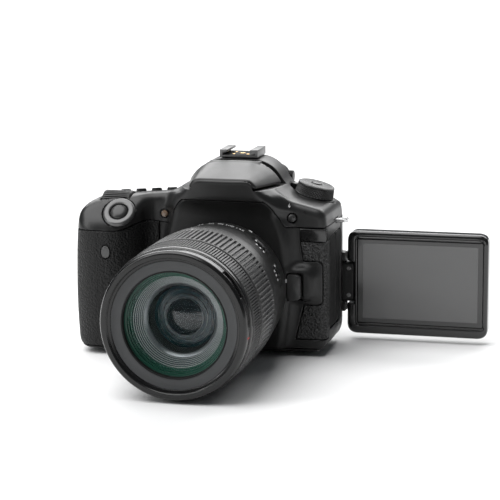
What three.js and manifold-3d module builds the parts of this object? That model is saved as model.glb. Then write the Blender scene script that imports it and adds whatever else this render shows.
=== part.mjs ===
// Digital single-lens reflex camera with a zoom lens and a swing-out screen.
// Millimetres. +Z is up, the lens points along -Y, and the screen opens towards +X.
// The origin is on the base plane, under the lens axis, in the plane of the image sensor.
import * as THREE from 'three';
import { ConvexGeometry } from 'three/addons/geometries/ConvexGeometry.js';
import { mergeVertices } from 'three/addons/utils/BufferGeometryUtils.js';
import Module from 'manifold-3d';

const wasm = await Module();
wasm.setup();

// Driving dimensions
const GAP = 0.3;                 // clearance between neighbouring pieces
const BODY_LEFT = -85.2;         // outer side of the grip
const BODY_RIGHT = 55.5;
const FRONT_FACE = -36.5;        // body front beside the lens
const BACK_FACE = 15.5;          // rear face behind the grip
const SCREEN_BAY_FLOOR = 8.5;    // rear face behind the folded screen
const FLANGE = -44;              // lens seat, 44 mm in front of the sensor
const AXIS_HEIGHT = 36.4;        // lens axis above the base
const BASE_TOP = 2;              // top of the base plate
const COVER_SEAM = 68;           // height where the top cover starts
const REAR_SEAM = 1.15;          // depth where the rear shell starts
const WALL = 3.2;
const SKIN = 1.2;                // rubber grip and leather thickness
const LENS_SEGMENTS = 40;
const ZOOM_RADIUS = 38.6;
const FOCUS_RADIUS = 38.2;
const DIAL_TILT = THREE.MathUtils.degToRad(14);
const DECK_SLOPE = THREE.MathUtils.degToRad(4.2);    // the deck falls towards the grip's side
const DECK_FALL = THREE.MathUtils.degToRad(9);        // and towards the back
const SHUTTER_SLOPE = THREE.MathUtils.degToRad(45.7);
const SWING = { x: 52.4, y: 13.25 };         // screen swing axis
const SCREEN = { x0: 56.4, x1: 134.2, y0: 8, y1: 17.5, z0: 1.2, z1: 58.9 };
const FLASH_HINGE = { y: -16.5, z: 95 };

// Finishes: colour, roughness and metalness of each kind of piece
const plastic = { color: 0x1d1d1f, roughness: 0.5, metalness: 0 };
const rubber = { color: 0x18181a, roughness: 0.85, metalness: 0 };
const gloss = { color: 0x0c0c0d, roughness: 0.2, metalness: 0 };
const barrel = { color: 0x202022, roughness: 0.4, metalness: 0 };
const steel = { color: 0xb9bbbe, roughness: 0.3, metalness: 1 };
const glass = { color: 0x1c3a38, roughness: 0.05, metalness: 0 };
const grey = { color: 0x55555a, roughness: 0.45, metalness: 0 };
const board = { color: 0x1f5a36, roughness: 0.6, metalness: 0 };

const camera = new THREE.Group();

// Solids and geometry

function solid(geometry) {
  const bare = geometry.clone();
  bare.deleteAttribute('normal');
  bare.deleteAttribute('uv');
  const merged = mergeVertices(bare, 1e-4);
  const index = merged.index.array;
  const place = merged.attributes.position.array;
  const corner = (i) => new THREE.Vector3().fromArray(place, 3 * i);
  const triangles = [];
  let volume = 0;
  for (let i = 0; i < index.length; i += 3) {
    const [a, b, c] = [index[i], index[i + 1], index[i + 2]];
    if (a === b || b === c || c === a) continue;
    triangles.push(a, b, c);
    volume += corner(a).dot(corner(b).cross(corner(c)));
  }
  if (volume < 0) triangles.reverse();
  return new wasm.Manifold(new wasm.Mesh({
    numProp: 3,
    vertProperties: new Float32Array(place),
    triVerts: new Uint32Array(triangles),
  }));
}

function part(name, body, finish, parent = camera) {
  const result = body.getMesh();
  const geometry = new THREE.BufferGeometry();
  geometry.setAttribute('position', new THREE.BufferAttribute(result.vertProperties, 3));
  geometry.setIndex(new THREE.BufferAttribute(result.triVerts, 1));
  geometry.computeVertexNormals();
  const mesh = new THREE.Mesh(geometry, new THREE.MeshStandardMaterial(finish));
  mesh.name = name;
  parent.add(mesh);
  return mesh;
}

function group(position, rotation = [0, 0, 0], parent = camera) {
  const made = new THREE.Group();
  made.position.set(...position);
  made.rotation.set(...rotation);
  parent.add(made);
  made.updateWorldMatrix(true, false);
  return made;
}

// A cutter drawn in a turned group's own axes, for a piece that is in the camera's axes
function inCameraAxes(frame, geometry) {
  return solid(geometry.clone().applyMatrix4(frame.matrixWorld));
}

const join = (...solids) => solids.reduce((whole, next) => whole.add(next));

// An outline's corners are [x, y] or [x, y, rounding]
function outline(corners) {
  const shape = new THREE.Shape();
  const at = ([x, y]) => new THREE.Vector2(x, y);
  corners.forEach((corner, i) => {
    const here = at(corner);
    const before = at(corners.at(i - 1)).sub(here);
    const after = at(corners[(i + 1) % corners.length]).sub(here);
    const reach = Math.min(corner[2] ?? 0, before.length() * 0.48, after.length() * 0.48);
    const start = before.setLength(reach).add(here);
    const end = after.setLength(reach).add(here);
    if (i === 0) shape.moveTo(start.x, start.y);
    else shape.lineTo(start.x, start.y);
    if (reach > 0) shape.quadraticCurveTo(here.x, here.y, end.x, end.y);
  });
  shape.closePath();
  return shape;
}

// The same outline with every edge moved inwards (corners run anticlockwise)
function inset(corners, distance) {
  return corners.map(([x, y, round = 0], i) => {
    const here = new THREE.Vector2(x, y);
    const [px, py] = corners.at(i - 1);
    const [nx, ny] = corners[(i + 1) % corners.length];
    const inward = (from, to) => new THREE.Vector2(from.y - to.y, to.x - from.x).normalize();
    const first = inward(new THREE.Vector2(px, py), here);
    const second = inward(here, new THREE.Vector2(nx, ny));
    const between = first.clone().add(second);
    const shift = between.multiplyScalar(distance / (1 + first.dot(second)));
    return [x + shift.x, y + shift.y, Math.max(round - distance * 0.5, 0)];
  });
}

function extrude(corners, depth, bevel = 0) {
  return new THREE.ExtrudeGeometry(outline(corners), {
    depth: depth - 2 * bevel,
    curveSegments: 3,
    bevelEnabled: bevel > 0,
    bevelThickness: bevel,
    bevelSize: bevel,
    bevelOffset: -bevel,
    bevelSegments: 2,
  }).translate(0, 0, bevel);
}

// Outlines seen from above (x, y), from the front (x, z) and from the side (y, z)
const seenFromAbove = (corners, z0, z1, bevel) => extrude(corners, z1 - z0, bevel).translate(0, 0, z0);

function seenFromFront(corners, y0, y1, bevel) {
  return extrude(corners, y1 - y0, bevel).rotateX(Math.PI / 2).translate(0, y1, 0);
}

function seenFromSide(corners, x0, x1, bevel) {
  const turn = new THREE.Matrix4().makeBasis(
    new THREE.Vector3(0, 1, 0), new THREE.Vector3(0, 0, 1), new THREE.Vector3(1, 0, 0));
  return extrude(corners, x1 - x0, bevel).applyMatrix4(turn).translate(x0, 0, 0);
}

function box([x0, y0, z0], [x1, y1, z1]) {
  return new THREE.BoxGeometry(x1 - x0, y1 - y0, z1 - z0)
    .translate((x0 + x1) / 2, (y0 + y1) / 2, (z0 + z1) / 2);
}

// Round bars along each axis; the centre is given in the other two coordinates
function rodX(radius, x0, x1, [y, z], segments = 24) {
  return new THREE.CylinderGeometry(radius, radius, x1 - x0, segments)
    .rotateZ(-Math.PI / 2).translate((x0 + x1) / 2, y, z);
}

function rodY(radius, y0, y1, [x, z], segments = 24) {
  return new THREE.CylinderGeometry(radius, radius, y1 - y0, segments)
    .translate(x, (y0 + y1) / 2, z);
}

function rodZ(radius, z0, z1, [x, y], segments = 24, topRadius = radius) {
  return new THREE.CylinderGeometry(topRadius, radius, z1 - z0, segments)
    .rotateX(Math.PI / 2).translate(x, y, (z0 + z1) / 2);
}

// A ring or disc turned about the Y axis from corners [radius, y]
function turned(profile, segments = LENS_SEGMENTS) {
  const points = [...profile, profile[0]].map(([r, y]) => new THREE.Vector2(r, y));
  return new THREE.LatheGeometry(points, segments);
}

const hull = (points) => new ConvexGeometry(points.map((p) => new THREE.Vector3(...p)));
const bothSides = (points) => points.flatMap(([x, y, z]) => [[x, y, z], [-x, y, z]]);

// Camera body: one outer form, which the shells and skins are cut from

const PLAN = [
  [-33, FRONT_FACE, 3], [34, FRONT_FACE, 4], [54.8, -36, 5], [BODY_RIGHT, -20, 6],
  [BODY_RIGHT, SCREEN_BAY_FLOOR, 2], [-30.6, SCREEN_BAY_FLOOR], [-30.6, BACK_FACE, 2],
  [-76, BACK_FACE, 6], [-83.6, 9, 5], [-84.8, -8, 6],
  [BODY_LEFT, -28, 8], [-82.6, -47, 8], [-73, -54.5, 7], [-58, -54, 6], [-47.5, -47, 7],
  [-43, -38, 4],
];
const FRONT_VIEW = [
  [-81.5, 0, 7], [BODY_RIGHT, 0, 11], [BODY_RIGHT, 68, 6], [52.8, 77, 5], [28, 83.2, 3],
  [-30, 84.6, 3], [-60, 82.4, 10], [-81, 79.8, 12], [-84.6, 52, 10], [BODY_LEFT, 28, 10],
];
const MOUNT_FACE = [
  [-34.5, 1.5], [-34.5, 45], [-31, 62], [-25, 83], [24, 83], [31, 67], [34.4, 45],
  [31.5, 8], [29, 1.5],
];
const MOUNT_ROOT = [
  [-38, 0.5], [-38, 46], [-35, 64], [-30, 84], [29, 84], [36, 69], [39, 46], [35, 6], [33, 0.5],
];

// The deck behind the top buttons, in its own tilted axes
const deckFrame = group([-45, -26, 83.5], [-DECK_FALL, -DECK_SLOPE, 0]);

function aboveDeck(depth) {
  return inCameraAxes(deckFrame, box([-50, 0, -depth], [14.5 + depth, 60, 16]));
}

// The grip's top slopes forward from the shutter button
function shutterSlope(depth) {
  const drop = depth * 1.4;
  return solid(seenFromSide([
    [-75, 64.4 - drop], [-58, 64.4 - drop], [-39.5, 83.3 - drop], [-39.5, 96], [-75, 96],
  ], -100, -40));
}

function bodyForm(depth) {
  const above = solid(seenFromAbove(inset(PLAN, depth), depth > 0 ? -1 : 0, 90));
  const front = solid(seenFromFront(inset(FRONT_VIEW, depth), -60, 20));
  return above.intersect(front).subtract(shutterSlope(depth)).subtract(aboveDeck(depth));
}

function mountHousing() {
  const face = MOUNT_FACE.map(([x, z]) => [x, -42, z]);
  const root = MOUNT_ROOT.map(([x, z]) => [x, -35, z]);
  return solid(hull([...face, ...root]));
}

function releaseBump() {
  return solid(hull([
    [33, -41.4, 30.5], [33, -41.4, 46], [44, -40.8, 46], [47.6, -40.2, 43], [47.6, -40.2, 33],
    [44, -40.8, 30.5], [32, -35, 27], [32, -35, 49], [47, -35, 49], [51, -35, 45],
    [51, -35, 31], [47, -35, 27],
  ]));
}

function prismHump() {
  return solid(hull(bothSides([
    [20.6, -46.9, 82.6], [19.2, -47.4, 88.8], [15.8, -48.2, 93.4], [26.5, -14, 88],
    [23, -12, 93.5], [18.5, -12, 97.6], [12.2, -12, 100.2], [12.2, 9, 100.2], [18.5, 9, 97.2],
    [13, 14, 95], [22, 14, 88], [23.5, 14, 76], [24.5, 8, 91], [27.5, 8, 84], [31, -38, 78],
    [30, 10, 78],
  ])));
}

const outer = join(
  bodyForm(0), mountHousing(), releaseBump(), prismHump(),
  solid(box([-30.8, 8, 61], [53.5, 12.5, 76])),
);
const hollow = bodyForm(WALL);
const behind = (y, z0, z1) => solid(box([-100, y, z0], [100, 40, z1]));
const ahead = (y, z0, z1) => solid(box([-100, -70, z0], [100, y, z1]));

// A skin of the body's outer form inside a region, and the recess that it lies in
const skin = (region, depth) => bodyForm(0).intersect(region).subtract(bodyForm(depth));
const LEATHER = [
  [60, 60.4], [40.2, 60.4], [41.8, 50], [52.2, 50, 3], [52.2, 26.2, 3], [42.2, 26.2], [37.6, 7.6],
  [60, 7.6],
];

function leatherRegion(grow) {
  return solid(seenFromFront(inset(LEATHER, -grow), -45, -29 + grow));
}

function gripRegion(grow) {
  return solid(box([-100, -70, BASE_TOP + GAP - grow], [-44.6 + grow, -15 + grow, 66 + grow]));
}

const COVERS = [
  { name: 'terminal_cover_front', y0: -26.4, y1: -13.4 },
  { name: 'terminal_cover_rear', y0: -12.9, y1: -0.6 },
];
const CARD_DOOR = { y0: -14.2, y1: -0.6, z0: 16, z1: 58 };

function coverRegion({ y0, y1 }, grow) {
  return solid(seenFromSide([
    [y0 - grow, 12 - grow, 2], [y1 + grow, 12 - grow, 2],
    [y1 + grow, 62 + grow, 2], [y0 - grow, 62 + grow, 2],
  ], 50, 60));
}

function cardRegion(grow) {
  const { y0, y1, z0, z1 } = CARD_DOOR;
  return solid(box([-100, y0 - grow, z0 - grow], [-75, y1 + grow, z1 + grow]));
}

const NAME_PLATE = [[40.2, 60.8], [54, 60.8], [54, 67.4], [39.8, 67.4]];

const largest = (body) => body.decompose().sort((a, b) => b.volume() - a.volume())[0];

function without(body, cutters) {
  return largest(cutters.reduce((left, cutter) => left.subtract(cutter), body));
}

// Small ovals and rectangles, centred on a point of the view they are drawn in
function plate([u, v], halfWidth, halfHeight, round) {
  return [
    [u - halfWidth, v - halfHeight, round], [u + halfWidth, v - halfHeight, round],
    [u + halfWidth, v + halfHeight, round], [u - halfWidth, v + halfHeight, round],
  ];
}

const REMOTE = [-62.5, 54];
const RELEASE = { x0: 34.2, x1: 41.8, z0: 29.6, z1: 43.8 };
const LUG_TIPS = [{ name: 'strap_lug_left', side: 1, root: 50.6 },
  { name: 'strap_lug_right', side: -1, root: 80.2 }];

function lugBlank({ side, root }, grow) {
  const blank = box([root, -11 - grow, 66.9 - grow], [root + 9.7 + grow, -5 + grow, 68.9 + grow]);
  return side > 0 ? solid(blank) : solid(blank.rotateZ(Math.PI).translate(0, -16, 0));
}

function makeFrontShell() {
  const { x0, x1, z0, z1 } = RELEASE;
  const shell = outer.intersect(ahead(REAR_SEAM - GAP / 2, BASE_TOP + GAP, COVER_SEAM - GAP / 2));
  part('front_shell', without(shell, [
    hollow,
    solid(box([-76, -32, 0], [44, 6, 5])),
    solid(box([-75, -47.5, 0], [-50.5, -7, 5])),
    solid(rodY(30, -50, -30, [0, AXIS_HEIGHT], LENS_SEGMENTS)),
    leatherRegion(GAP).subtract(bodyForm(SKIN + GAP)),
    gripRegion(GAP).subtract(bodyForm(SKIN + GAP)),
    ...COVERS.map((cover) => coverRegion(cover, GAP).subtract(bodyForm(1.6 + GAP))),
    cardRegion(GAP).subtract(bodyForm(1.6 + GAP)),
    solid(box([x0 - GAP, -46, z0 - GAP], [x1 + GAP, -38, z1 + GAP])),
    solid(seenFromFront(plate(REMOTE, 2.6, 3.7, 2.6), -70, -51.4)),
    solid(seenFromFront(inset(NAME_PLATE, -GAP), -45, -35.2)),
    ...LUG_TIPS.map((lug) => lugBlank(lug, GAP)),
  ]), plastic);
}

function makeSkins() {
  const grip = skin(gripRegion(0), SKIN);
  const window = solid(seenFromFront(plate(REMOTE, 2.6, 3.7, 2.6), -70, -50));
  part('grip_rubber', without(grip, [window]), rubber);
  part('side_leather', largest(skin(leatherRegion(0), SKIN)), rubber);
  part('name_plate', solid(seenFromFront(NAME_PLATE, -36.6, -35.5)), gloss);
  part('remote_window', solid(seenFromFront(plate(REMOTE, 2.3, 3.4, 2.3), -54.3, -51.7)), grey);
}

function makeDoors() {
  for (const cover of COVERS) {
    part(cover.name, largest(skin(coverRegion(cover, 0), 1.6)), rubber);
  }
  part('card_door', largest(skin(cardRegion(0), 1.6)), plastic);
  part('battery_door', solid(box([-73.5, -46, 0], [-51.3, -10, 1.8])), plastic);
}

function makeBase() {
  const base = outer.intersect(ahead(40, -1, BASE_TOP));
  part('base_plate', without(base, [
    solid(box([-73.8, -46.3, -1], [-51, -9.7, 5])),
    solid(rodZ(6.4, -1, 5, [0, -15])),
  ]), plastic);
  const bush = solid(rodZ(6.1, 0.1, 7.4, [0, -15])).subtract(solid(rodZ(3.2, -1, 9, [0, -15], 16)));
  part('tripod_socket', bush, steel);
}

function makeLugs() {
  for (const lug of LUG_TIPS) {
    const eye = box([lug.root + 6.4, -9.7, 60], [lug.root + 8.4, -6.3, 75]);
    if (lug.side < 0) eye.rotateZ(Math.PI).translate(0, -16, 0);
    part(lug.name, lugBlank(lug, 0).subtract(solid(eye)), steel);
  }
}

// Rear shell, its controls and the screen's hinge lugs

const QUICK_DIAL = [-57.5, 27];
const JOYSTICK = [-40.5, 58];
const PLAY = [-41, 44];
const MENU = [44, 72];
const SWING_LUGS = [
  { z0: 13.5, z1: 18.4, pin0: 18, pin1: 21.4 },
  { z0: 41.7, z1: 46.6, pin0: 38.7, pin1: 42 },
];

function makeRearShell() {
  const { x, y } = SWING;
  const shell = outer.intersect(behind(REAR_SEAM + GAP / 2, BASE_TOP + GAP, COVER_SEAM - GAP / 2));
  const plain = without(shell, [
    hollow,
    solid(box([-76, 0, 0], [44, 5, 5])),
    solid(rodY(15, 14.3, 30, QUICK_DIAL, 32)),
    solid(rodY(3.6, 12.8, 30, JOYSTICK, 16)),
    solid(rodY(2.8, 12.7, 30, PLAY, 16)),
  ]);
  const lugs = SWING_LUGS.flatMap(({ z0, z1, pin0, pin1 }) => [
    solid(rodZ(3.4, z0, z1, [x, y])),
    solid(box([x - 3.4, SCREEN_BAY_FLOOR - 0.5, z0], [BODY_RIGHT, y, z1])),
    solid(rodZ(1.2, pin0, pin1, [x, y], 12)),
  ]);
  part('rear_shell', join(plain, ...lugs), plastic);
}

function makeRearControls() {
  const dial = solid(rodY(14.6, 14.6, 17.6, QUICK_DIAL, 32));
  part('quick_dial', dial.subtract(solid(rodY(5.4, 0, 30, QUICK_DIAL))), plastic);
  part('set_button', solid(rodY(5, 14.9, 17.8, QUICK_DIAL)), gloss);
  part('joystick', solid(rodY(2.4, 13.1, 17.9, JOYSTICK, 16)), rubber);
  part('play_button', solid(rodY(2.4, 13.4, 16.3, PLAY, 16)), gloss);
  part('menu_button', solid(rodY(2.4, 10.6, 13.4, MENU, 16)), gloss);
}

function makeScreen() {
  const { x0, x1, y0, y1, z0, z1 } = SCREEN;
  const [middleY, middleZ] = [(y0 + y1) / 2, (z0 + z1) / 2];
  const centre = [(x0 + x1) / 2, middleZ];
  const back = plate(centre, (x1 - x0) / 2, (z1 - z0) / 2, 4);
  part('screen_housing', without(solid(seenFromFront(back, y0, y1, 0.8)), [
    solid(box([x0 - 1, y0 - 1, middleZ - 12], [x0 + 3.9, y1 + 1, middleZ + 12])),
    solid(box([62, y0 - 1, 7.4], [131.6, y0 + 1.8, 54.8])),
    solid(box([67, y0 - 1, 9], [130, y1 - 2, 53])),
    solid(rodX(2, x0, 65.5, [middleY, middleZ], 16)),
  ]), plastic);
  part('screen_glass', solid(box([62.3, y0 + 0.5, 7.7], [131.3, y0 + 1.5, 54.5])), gloss);
  const knuckle = [
    [9.4, middleZ - 11.25, 2], [17.1, middleZ - 11.25, 2],
    [17.1, middleZ + 11.25, 2], [9.4, middleZ + 11.25, 2],
  ];
  const arm = join(
    solid(seenFromSide(knuckle, SWING.x, x0 + 3.6)),
    solid(rodZ(3.4, middleZ - 11.25, middleZ + 11.25, [SWING.x, SWING.y])),
    solid(rodX(1.7, x0 + 3, x0 + 7.8, [middleY, middleZ], 16)),
  );
  part('screen_arm', without(arm, SWING_LUGS.map(({ pin0, pin1 }) => (
    solid(rodZ(1.5, pin0 - GAP, pin1 + GAP, [SWING.x, SWING.y], 12))))), plastic);
}

// Top cover and everything that is set in it

const shutterFrame = group([-56.5, -47.75, 74.87], [SHUTTER_SLOPE, 0, 0]);
const dialFrame = group([40.3, -3, 80.1], [0, DIAL_TILT, 0]);
const MAIN_DIAL = { x0: -69, x1: -53, y: -33.2, z: 76.6, radius: 7.6 };
const TOP_BUTTONS = ['af_button', 'drive_button', 'iso_button', 'metering_button'];
const topButtonAt = (i) => [-15.4 + 8.8 * i, 3.2];
const DISPLAY = plate([-9, 24.8], 17.5, 10, 2);
const LAMP = [-34.1, 73.1];
const FLASH_BUTTON = [35.7, 73];
const LEVER_REST = THREE.MathUtils.degToRad(165);

// The room that the power lever's tab sweeps, beside the mode dial
function leverSweep() {
  const room = new THREE.Shape();
  room.moveTo(0, 0);
  room.absarc(0, 0, 14.4, THREE.MathUtils.degToRad(95), THREE.MathUtils.degToRad(195));
  room.closePath();
  return new THREE.ExtrudeGeometry(room, { depth: 14, bevelEnabled: false, curveSegments: 10 })
    .translate(0, 0, -1.5);
}

function flashHingeCheek(side) {
  const { y, z } = FLASH_HINGE;
  const [x0, x1] = side > 0 ? [14.4, 17.2] : [-17.2, -14.4];
  const [pin0, pin1] = side > 0 ? [10.6, 15] : [-15, -10.6];
  return join(
    solid(box([x0, y - 3.4, 84], [x1, y + 3.4, z])),
    solid(rodX(3.5, x0, x1, [y, z])),
    solid(rodX(1.1, pin0, pin1, [y, z], 12)),
  );
}

function makeTopCover() {
  const cover = outer.intersect(ahead(40, COVER_SEAM + GAP / 2, 120));
  const { x0, x1, y, z, radius } = MAIN_DIAL;
  const plain = without(cover, [
    hollow,
    solid(box([-17.5, -41.5, 60], [17.5, 6.5, 85.4])),
    solid(box([-10.5, 4, 72.5], [10.5, 20, 86.5])),
    solid(hull(bothSides([[35, -46.6, 88.3], [35, -46.6, 115], [35, -11, 87], [35, -11, 115]]))),
    solid(rodX(radius + 0.6, x0 - 0.6, x1 + 0.6, [y, z], 32)),
    solid(rodY(2.3, -50, -35.7, LAMP, 16)),
    solid(rodY(2.5, -50, -33.7, FLASH_BUTTON, 16)),
    solid(rodY(2.8, 9.8, 30, MENU, 16)),
    solid(rodX(4.4, 21.6, 40, [10.2, 88])),
    inCameraAxes(shutterFrame, rodZ(9.2, -1.4, 6, [0, 0], 32)),
    inCameraAxes(shutterFrame, rodZ(5.3, -4.2, 6, [0, 0])),
    inCameraAxes(deckFrame, seenFromAbove(inset(DISPLAY, -GAP), -1.5, 5)),
    ...TOP_BUTTONS.map((_, i) => (
      inCameraAxes(deckFrame, seenFromAbove(plate(topButtonAt(i), 3.2, 2.1, 2.1), -2.9, 5)))),
    inCameraAxes(dialFrame, rodZ(12.1, -1.5, 12, [0, 0], 40)),
    inCameraAxes(dialFrame, leverSweep()),
    ...LUG_TIPS.map((lug) => lugBlank(lug, GAP)),
  ]);
  part('top_cover', join(plain, flashHingeCheek(1), flashHingeCheek(-1)), plastic);
}

function makeShutterButton() {
  const bezel = solid(rodZ(8.9, -1.1, 0.9, [0, 0], 32, 8.1));
  part('shutter_bezel', bezel.subtract(solid(rodZ(5.2, -2, 2, [0, 0]))), grey, shutterFrame);
  const button = solid(new THREE.LatheGeometry([
    new THREE.Vector2(0, -2.6), new THREE.Vector2(4.8, -2.6), new THREE.Vector2(4.8, 0.4),
    new THREE.Vector2(3.6, 1.2), new THREE.Vector2(0, 1.6),
  ], 24).rotateX(Math.PI / 2));
  part('shutter_button', button, gloss, shutterFrame);
}

function makeDeckControls() {
  const { x0, x1, y, z, radius } = MAIN_DIAL;
  part('main_dial', solid(rodX(radius, x0, x1, [y, z], 32)), rubber);
  part('top_display', solid(seenFromAbove(DISPLAY, -1.2, 0.15)), gloss, deckFrame);
  TOP_BUTTONS.forEach((name, i) => {
    const cap = seenFromAbove(plate(topButtonAt(i), 2.9, 1.8, 1.8), -1.9, 0.6);
    part(name, solid(cap), gloss, deckFrame);
  });
  part('lamp_window', solid(rodY(2, -38.2, -36, LAMP, 16)), grey);
  part('flash_button', solid(rodY(2.2, -38.2, -34.8, FLASH_BUTTON, 16)), gloss);
}

function makeModeDial() {
  const dial = solid(rodZ(10.7, 0.35, 6.5, [0, 0], 40));
  part('mode_dial', dial.subtract(solid(rodZ(3.1, 3, 9, [0, 0]))), plastic, dialFrame);
  part('mode_dial_lock', solid(rodZ(2.7, 3.9, 7.2, [0, 0], 20)), gloss, dialFrame);
  const tab = box([11.1, -2.4, -1.2], [13.9, 2.4, 3]);
  const foot = box([9, -2.4, -1.2], [13.9, 2.4, 0]);
  const ring = solid(rodZ(11.8, -1.2, 0, [0, 0], 40)).subtract(solid(rodZ(4, -3, 3, [0, 0])));
  const lever = join(ring, solid(tab.rotateZ(LEVER_REST)), solid(foot.rotateZ(LEVER_REST)));
  part('power_lever', lever, plastic, dialFrame);
}

// Pop-up flash, hinged in front of the accessory shoe

function makeFlash() {
  const { y, z } = FLASH_HINGE;
  const head = join(
    solid(hull(bothSides([
      [15.7, -46.1, 93.9], [18.5, -45.6, 88.9], [25.2, -20, 88], [26.2, y, 88],
      [23, y, 93.5], [18.5, y, 97.4], [12.2, y, 100],
    ]))),
    solid(rodX(4.8, -14, 14, [y, z])),
  );
  const notches = [[14.1, 17.5], [-17.5, -14.1]].flatMap(([x0, x1]) => [
    solid(box([x0, -21.5, 80], [x1, -8, 94.9])),
    solid(rodX(4.4, x0, x1, [y, z])),
    solid(box([x0, y, 80], [x1, -8, 101])),
  ]);
  const hood = solid(box([-30, y, 80], [30, -8, 88]));
  const recess = solid(box([-12.3, -50, 89.9], [12.3, -44.2, 93.1]));
  const bore = solid(rodX(1.5, -15, 15, [y, z], 12));
  part('flash_head', without(head, [...notches, hood, recess, bore]), plastic);
  part('flash_window', solid(box([-12, -45.6, 90.2], [12, -44.5, 92.8])), grey);
}

// Viewfinder and accessory shoe

function makeViewfinder() {
  const cup = solid(seenFromFront(plate([0, 80], 21.5, 13.5, 8), 14.4, 22.8, 0.8));
  part('eyecup', cup.subtract(solid(seenFromFront(plate([0, 80], 11.5, 7.5, 3), 10, 30))), rubber);
  part('eyepiece_lens', solid(box([-9.8, 9, 73.2], [9.8, 12.5, 85.8])), glass);
  part('diopter_knob', solid(rodX(4, 22, 28, [10.2, 88])), plastic);
  const prism = solid(seenFromSide([
    [-37, 68.5], [-12, 68.5], [-7, 74], [-12, 83.4], [-24, 83.4], [-37, 76],
  ], -15, 15));
  part('pentaprism', prism, glass);
}

function makeShoe() {
  const [half, inner, lip] = [10.67, 9.4, 6.3];
  part('accessory_shoe', solid(seenFromFront([
    [-half, 100.5], [half, 100.5], [half, 104.8], [lip, 104.8], [lip, 103.4], [inner, 103.4],
    [inner, 101.5], [-inner, 101.5], [-inner, 103.4], [-lip, 103.4], [-lip, 104.8], [-half, 104.8],
  ], -10.5, 8)), steel);
}

// Inside the body

function makeInside() {
  const mirrorBox = join(
    solid(box([-29, -33, 8], [29, -7.4, 66])),
    solid(rodY(29.2, -41.7, -32.9, [0, AXIS_HEIGHT], LENS_SEGMENTS)),
  );
  part('mirror_box', without(mirrorBox, [
    solid(rodY(27.2, -50, -30, [0, AXIS_HEIGHT], LENS_SEGMENTS)),
    solid(box([-20, -31, 12], [20, 0, 60])),
    solid(box([-17, -30, 50], [17, -9, 80])),
  ]), plastic);
  const mirror = box([-17, 0, -0.8], [17, 26, 0.8]).rotateX(-3 * Math.PI / 4).translate(0, -10.5, 54);
  part('mirror', solid(mirror), glass);
  const shutter = solid(box([-24, -6.8, 16], [24, -3.4, 57]));
  part('shutter_unit', shutter.subtract(solid(box([-12, -8, 28], [12, -5, 45]))), plastic);
  const sensor = join(
    solid(box([-15, -2.4, 26], [15, -0.4, 47])),
    solid(box([-20, -0.6, 20], [20, 0.8, 53])),
  );
  part('image_sensor', sensor, board);
  part('main_board', solid(box([-40, 2, 8], [48, 3.6, 62])), board);
  part('battery', solid(box([-73, -46, 5.4], [-52.4, -8.6, 60])), grey);
}

// Lens: rings turned about the lens axis

const lens = group([0, 0, AXIS_HEIGHT]);
const SWITCHES = [
  { name: 'focus_switch', angle: 45, y: -62 },
  { name: 'stabiliser_switch', angle: 19, y: -64 },
];

function switchFrame({ angle }) {
  return group([0, 0, 0], [0, THREE.MathUtils.degToRad(90 - angle), 0], lens);
}

function makeLens() {
  part('lens_mount', solid(turned([[27.2, FLANGE], [32.4, FLANGE], [32.4, -42.3], [27.2, -42.3]])),
    steel, lens);
  let tube = solid(turned([
    [28.6, -44.3], [33, -44.3], [35.2, -49], [38.2, -80], [38.2, -87.9], [33.6, -87.9],
    [33.6, -129.4], [31.3, -129.4], [31.3, -50], [13.4, -50], [13.4, -47.6], [28.6, -47.6],
  ]));
  for (const control of SWITCHES) {
    const frame = switchFrame(control);
    const slot = box([-3, control.y - 1.8, 35], [3, control.y + 1.8, 45]);
    tube = tube.subtract(solid(slot.rotateY(frame.rotation.y)));
    const slider = box([-2.7, control.y - 1.5, 35.3], [-0.1, control.y + 1.5, 37.2]);
    part(control.name, solid(slider), plastic, frame);
  }
  part('lens_barrel', tube, barrel, lens);
  part('zoom_ring', solid(turned([
    [33.9, -88.2], [38.4, -88.2], [ZOOM_RADIUS, -89], [ZOOM_RADIUS, -114], [38.3, -114.6],
    [33.9, -114.6],
  ])), rubber, lens);
  part('focus_ring', solid(turned([
    [33.9, -115], [FOCUS_RADIUS, -115], [FOCUS_RADIUS, -129], [37.9, -129.6], [33.9, -129.6],
  ])), rubber, lens);
  part('front_barrel', solid(turned([
    [33.6, -140], [36, -140], [37.2, -138.6], [37.2, -133.2], [37.9, -132.6], [37.9, -129.9],
    [30.9, -129.9], [30.9, -58], [28.9, -58], [28.9, -134.2], [33.6, -134.2],
  ])), barrel, lens);
  part('name_ring', solid(turned([
    [33.3, -137.6], [33.3, -134.6], [27.6, -134.6], [24.6, -136.4], [24.6, -137.2],
  ])), grey, lens);
  part('front_element', solid(turned([
    [0, -134.5], [10, -134.1], [20, -133], [28.5, -131], [28.5, -127], [0, -125],
  ])), glass, lens);
  part('rear_element', solid(turned([
    [0, -53], [8, -52.4], [13.1, -50.3], [13.1, -47.2], [0, -46],
  ], 24)), glass, lens);
}

function makeRelease() {
  const { x0, x1, z0, z1 } = RELEASE;
  part('lens_release', solid(box([x0, -43, z0], [x1, -39.2, z1])), plastic);
}

makeFrontShell();
makeSkins();
makeDoors();
makeBase();
makeLugs();
makeRearShell();
makeRearControls();
makeScreen();
makeTopCover();
makeShutterButton();
makeDeckControls();
makeModeDial();
makeFlash();
makeViewfinder();
makeShoe();
makeInside();
makeLens();
makeRelease();
export default camera;
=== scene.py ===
import math

import bmesh
import bpy
import numpy as np
from mathutils import Matrix


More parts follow.
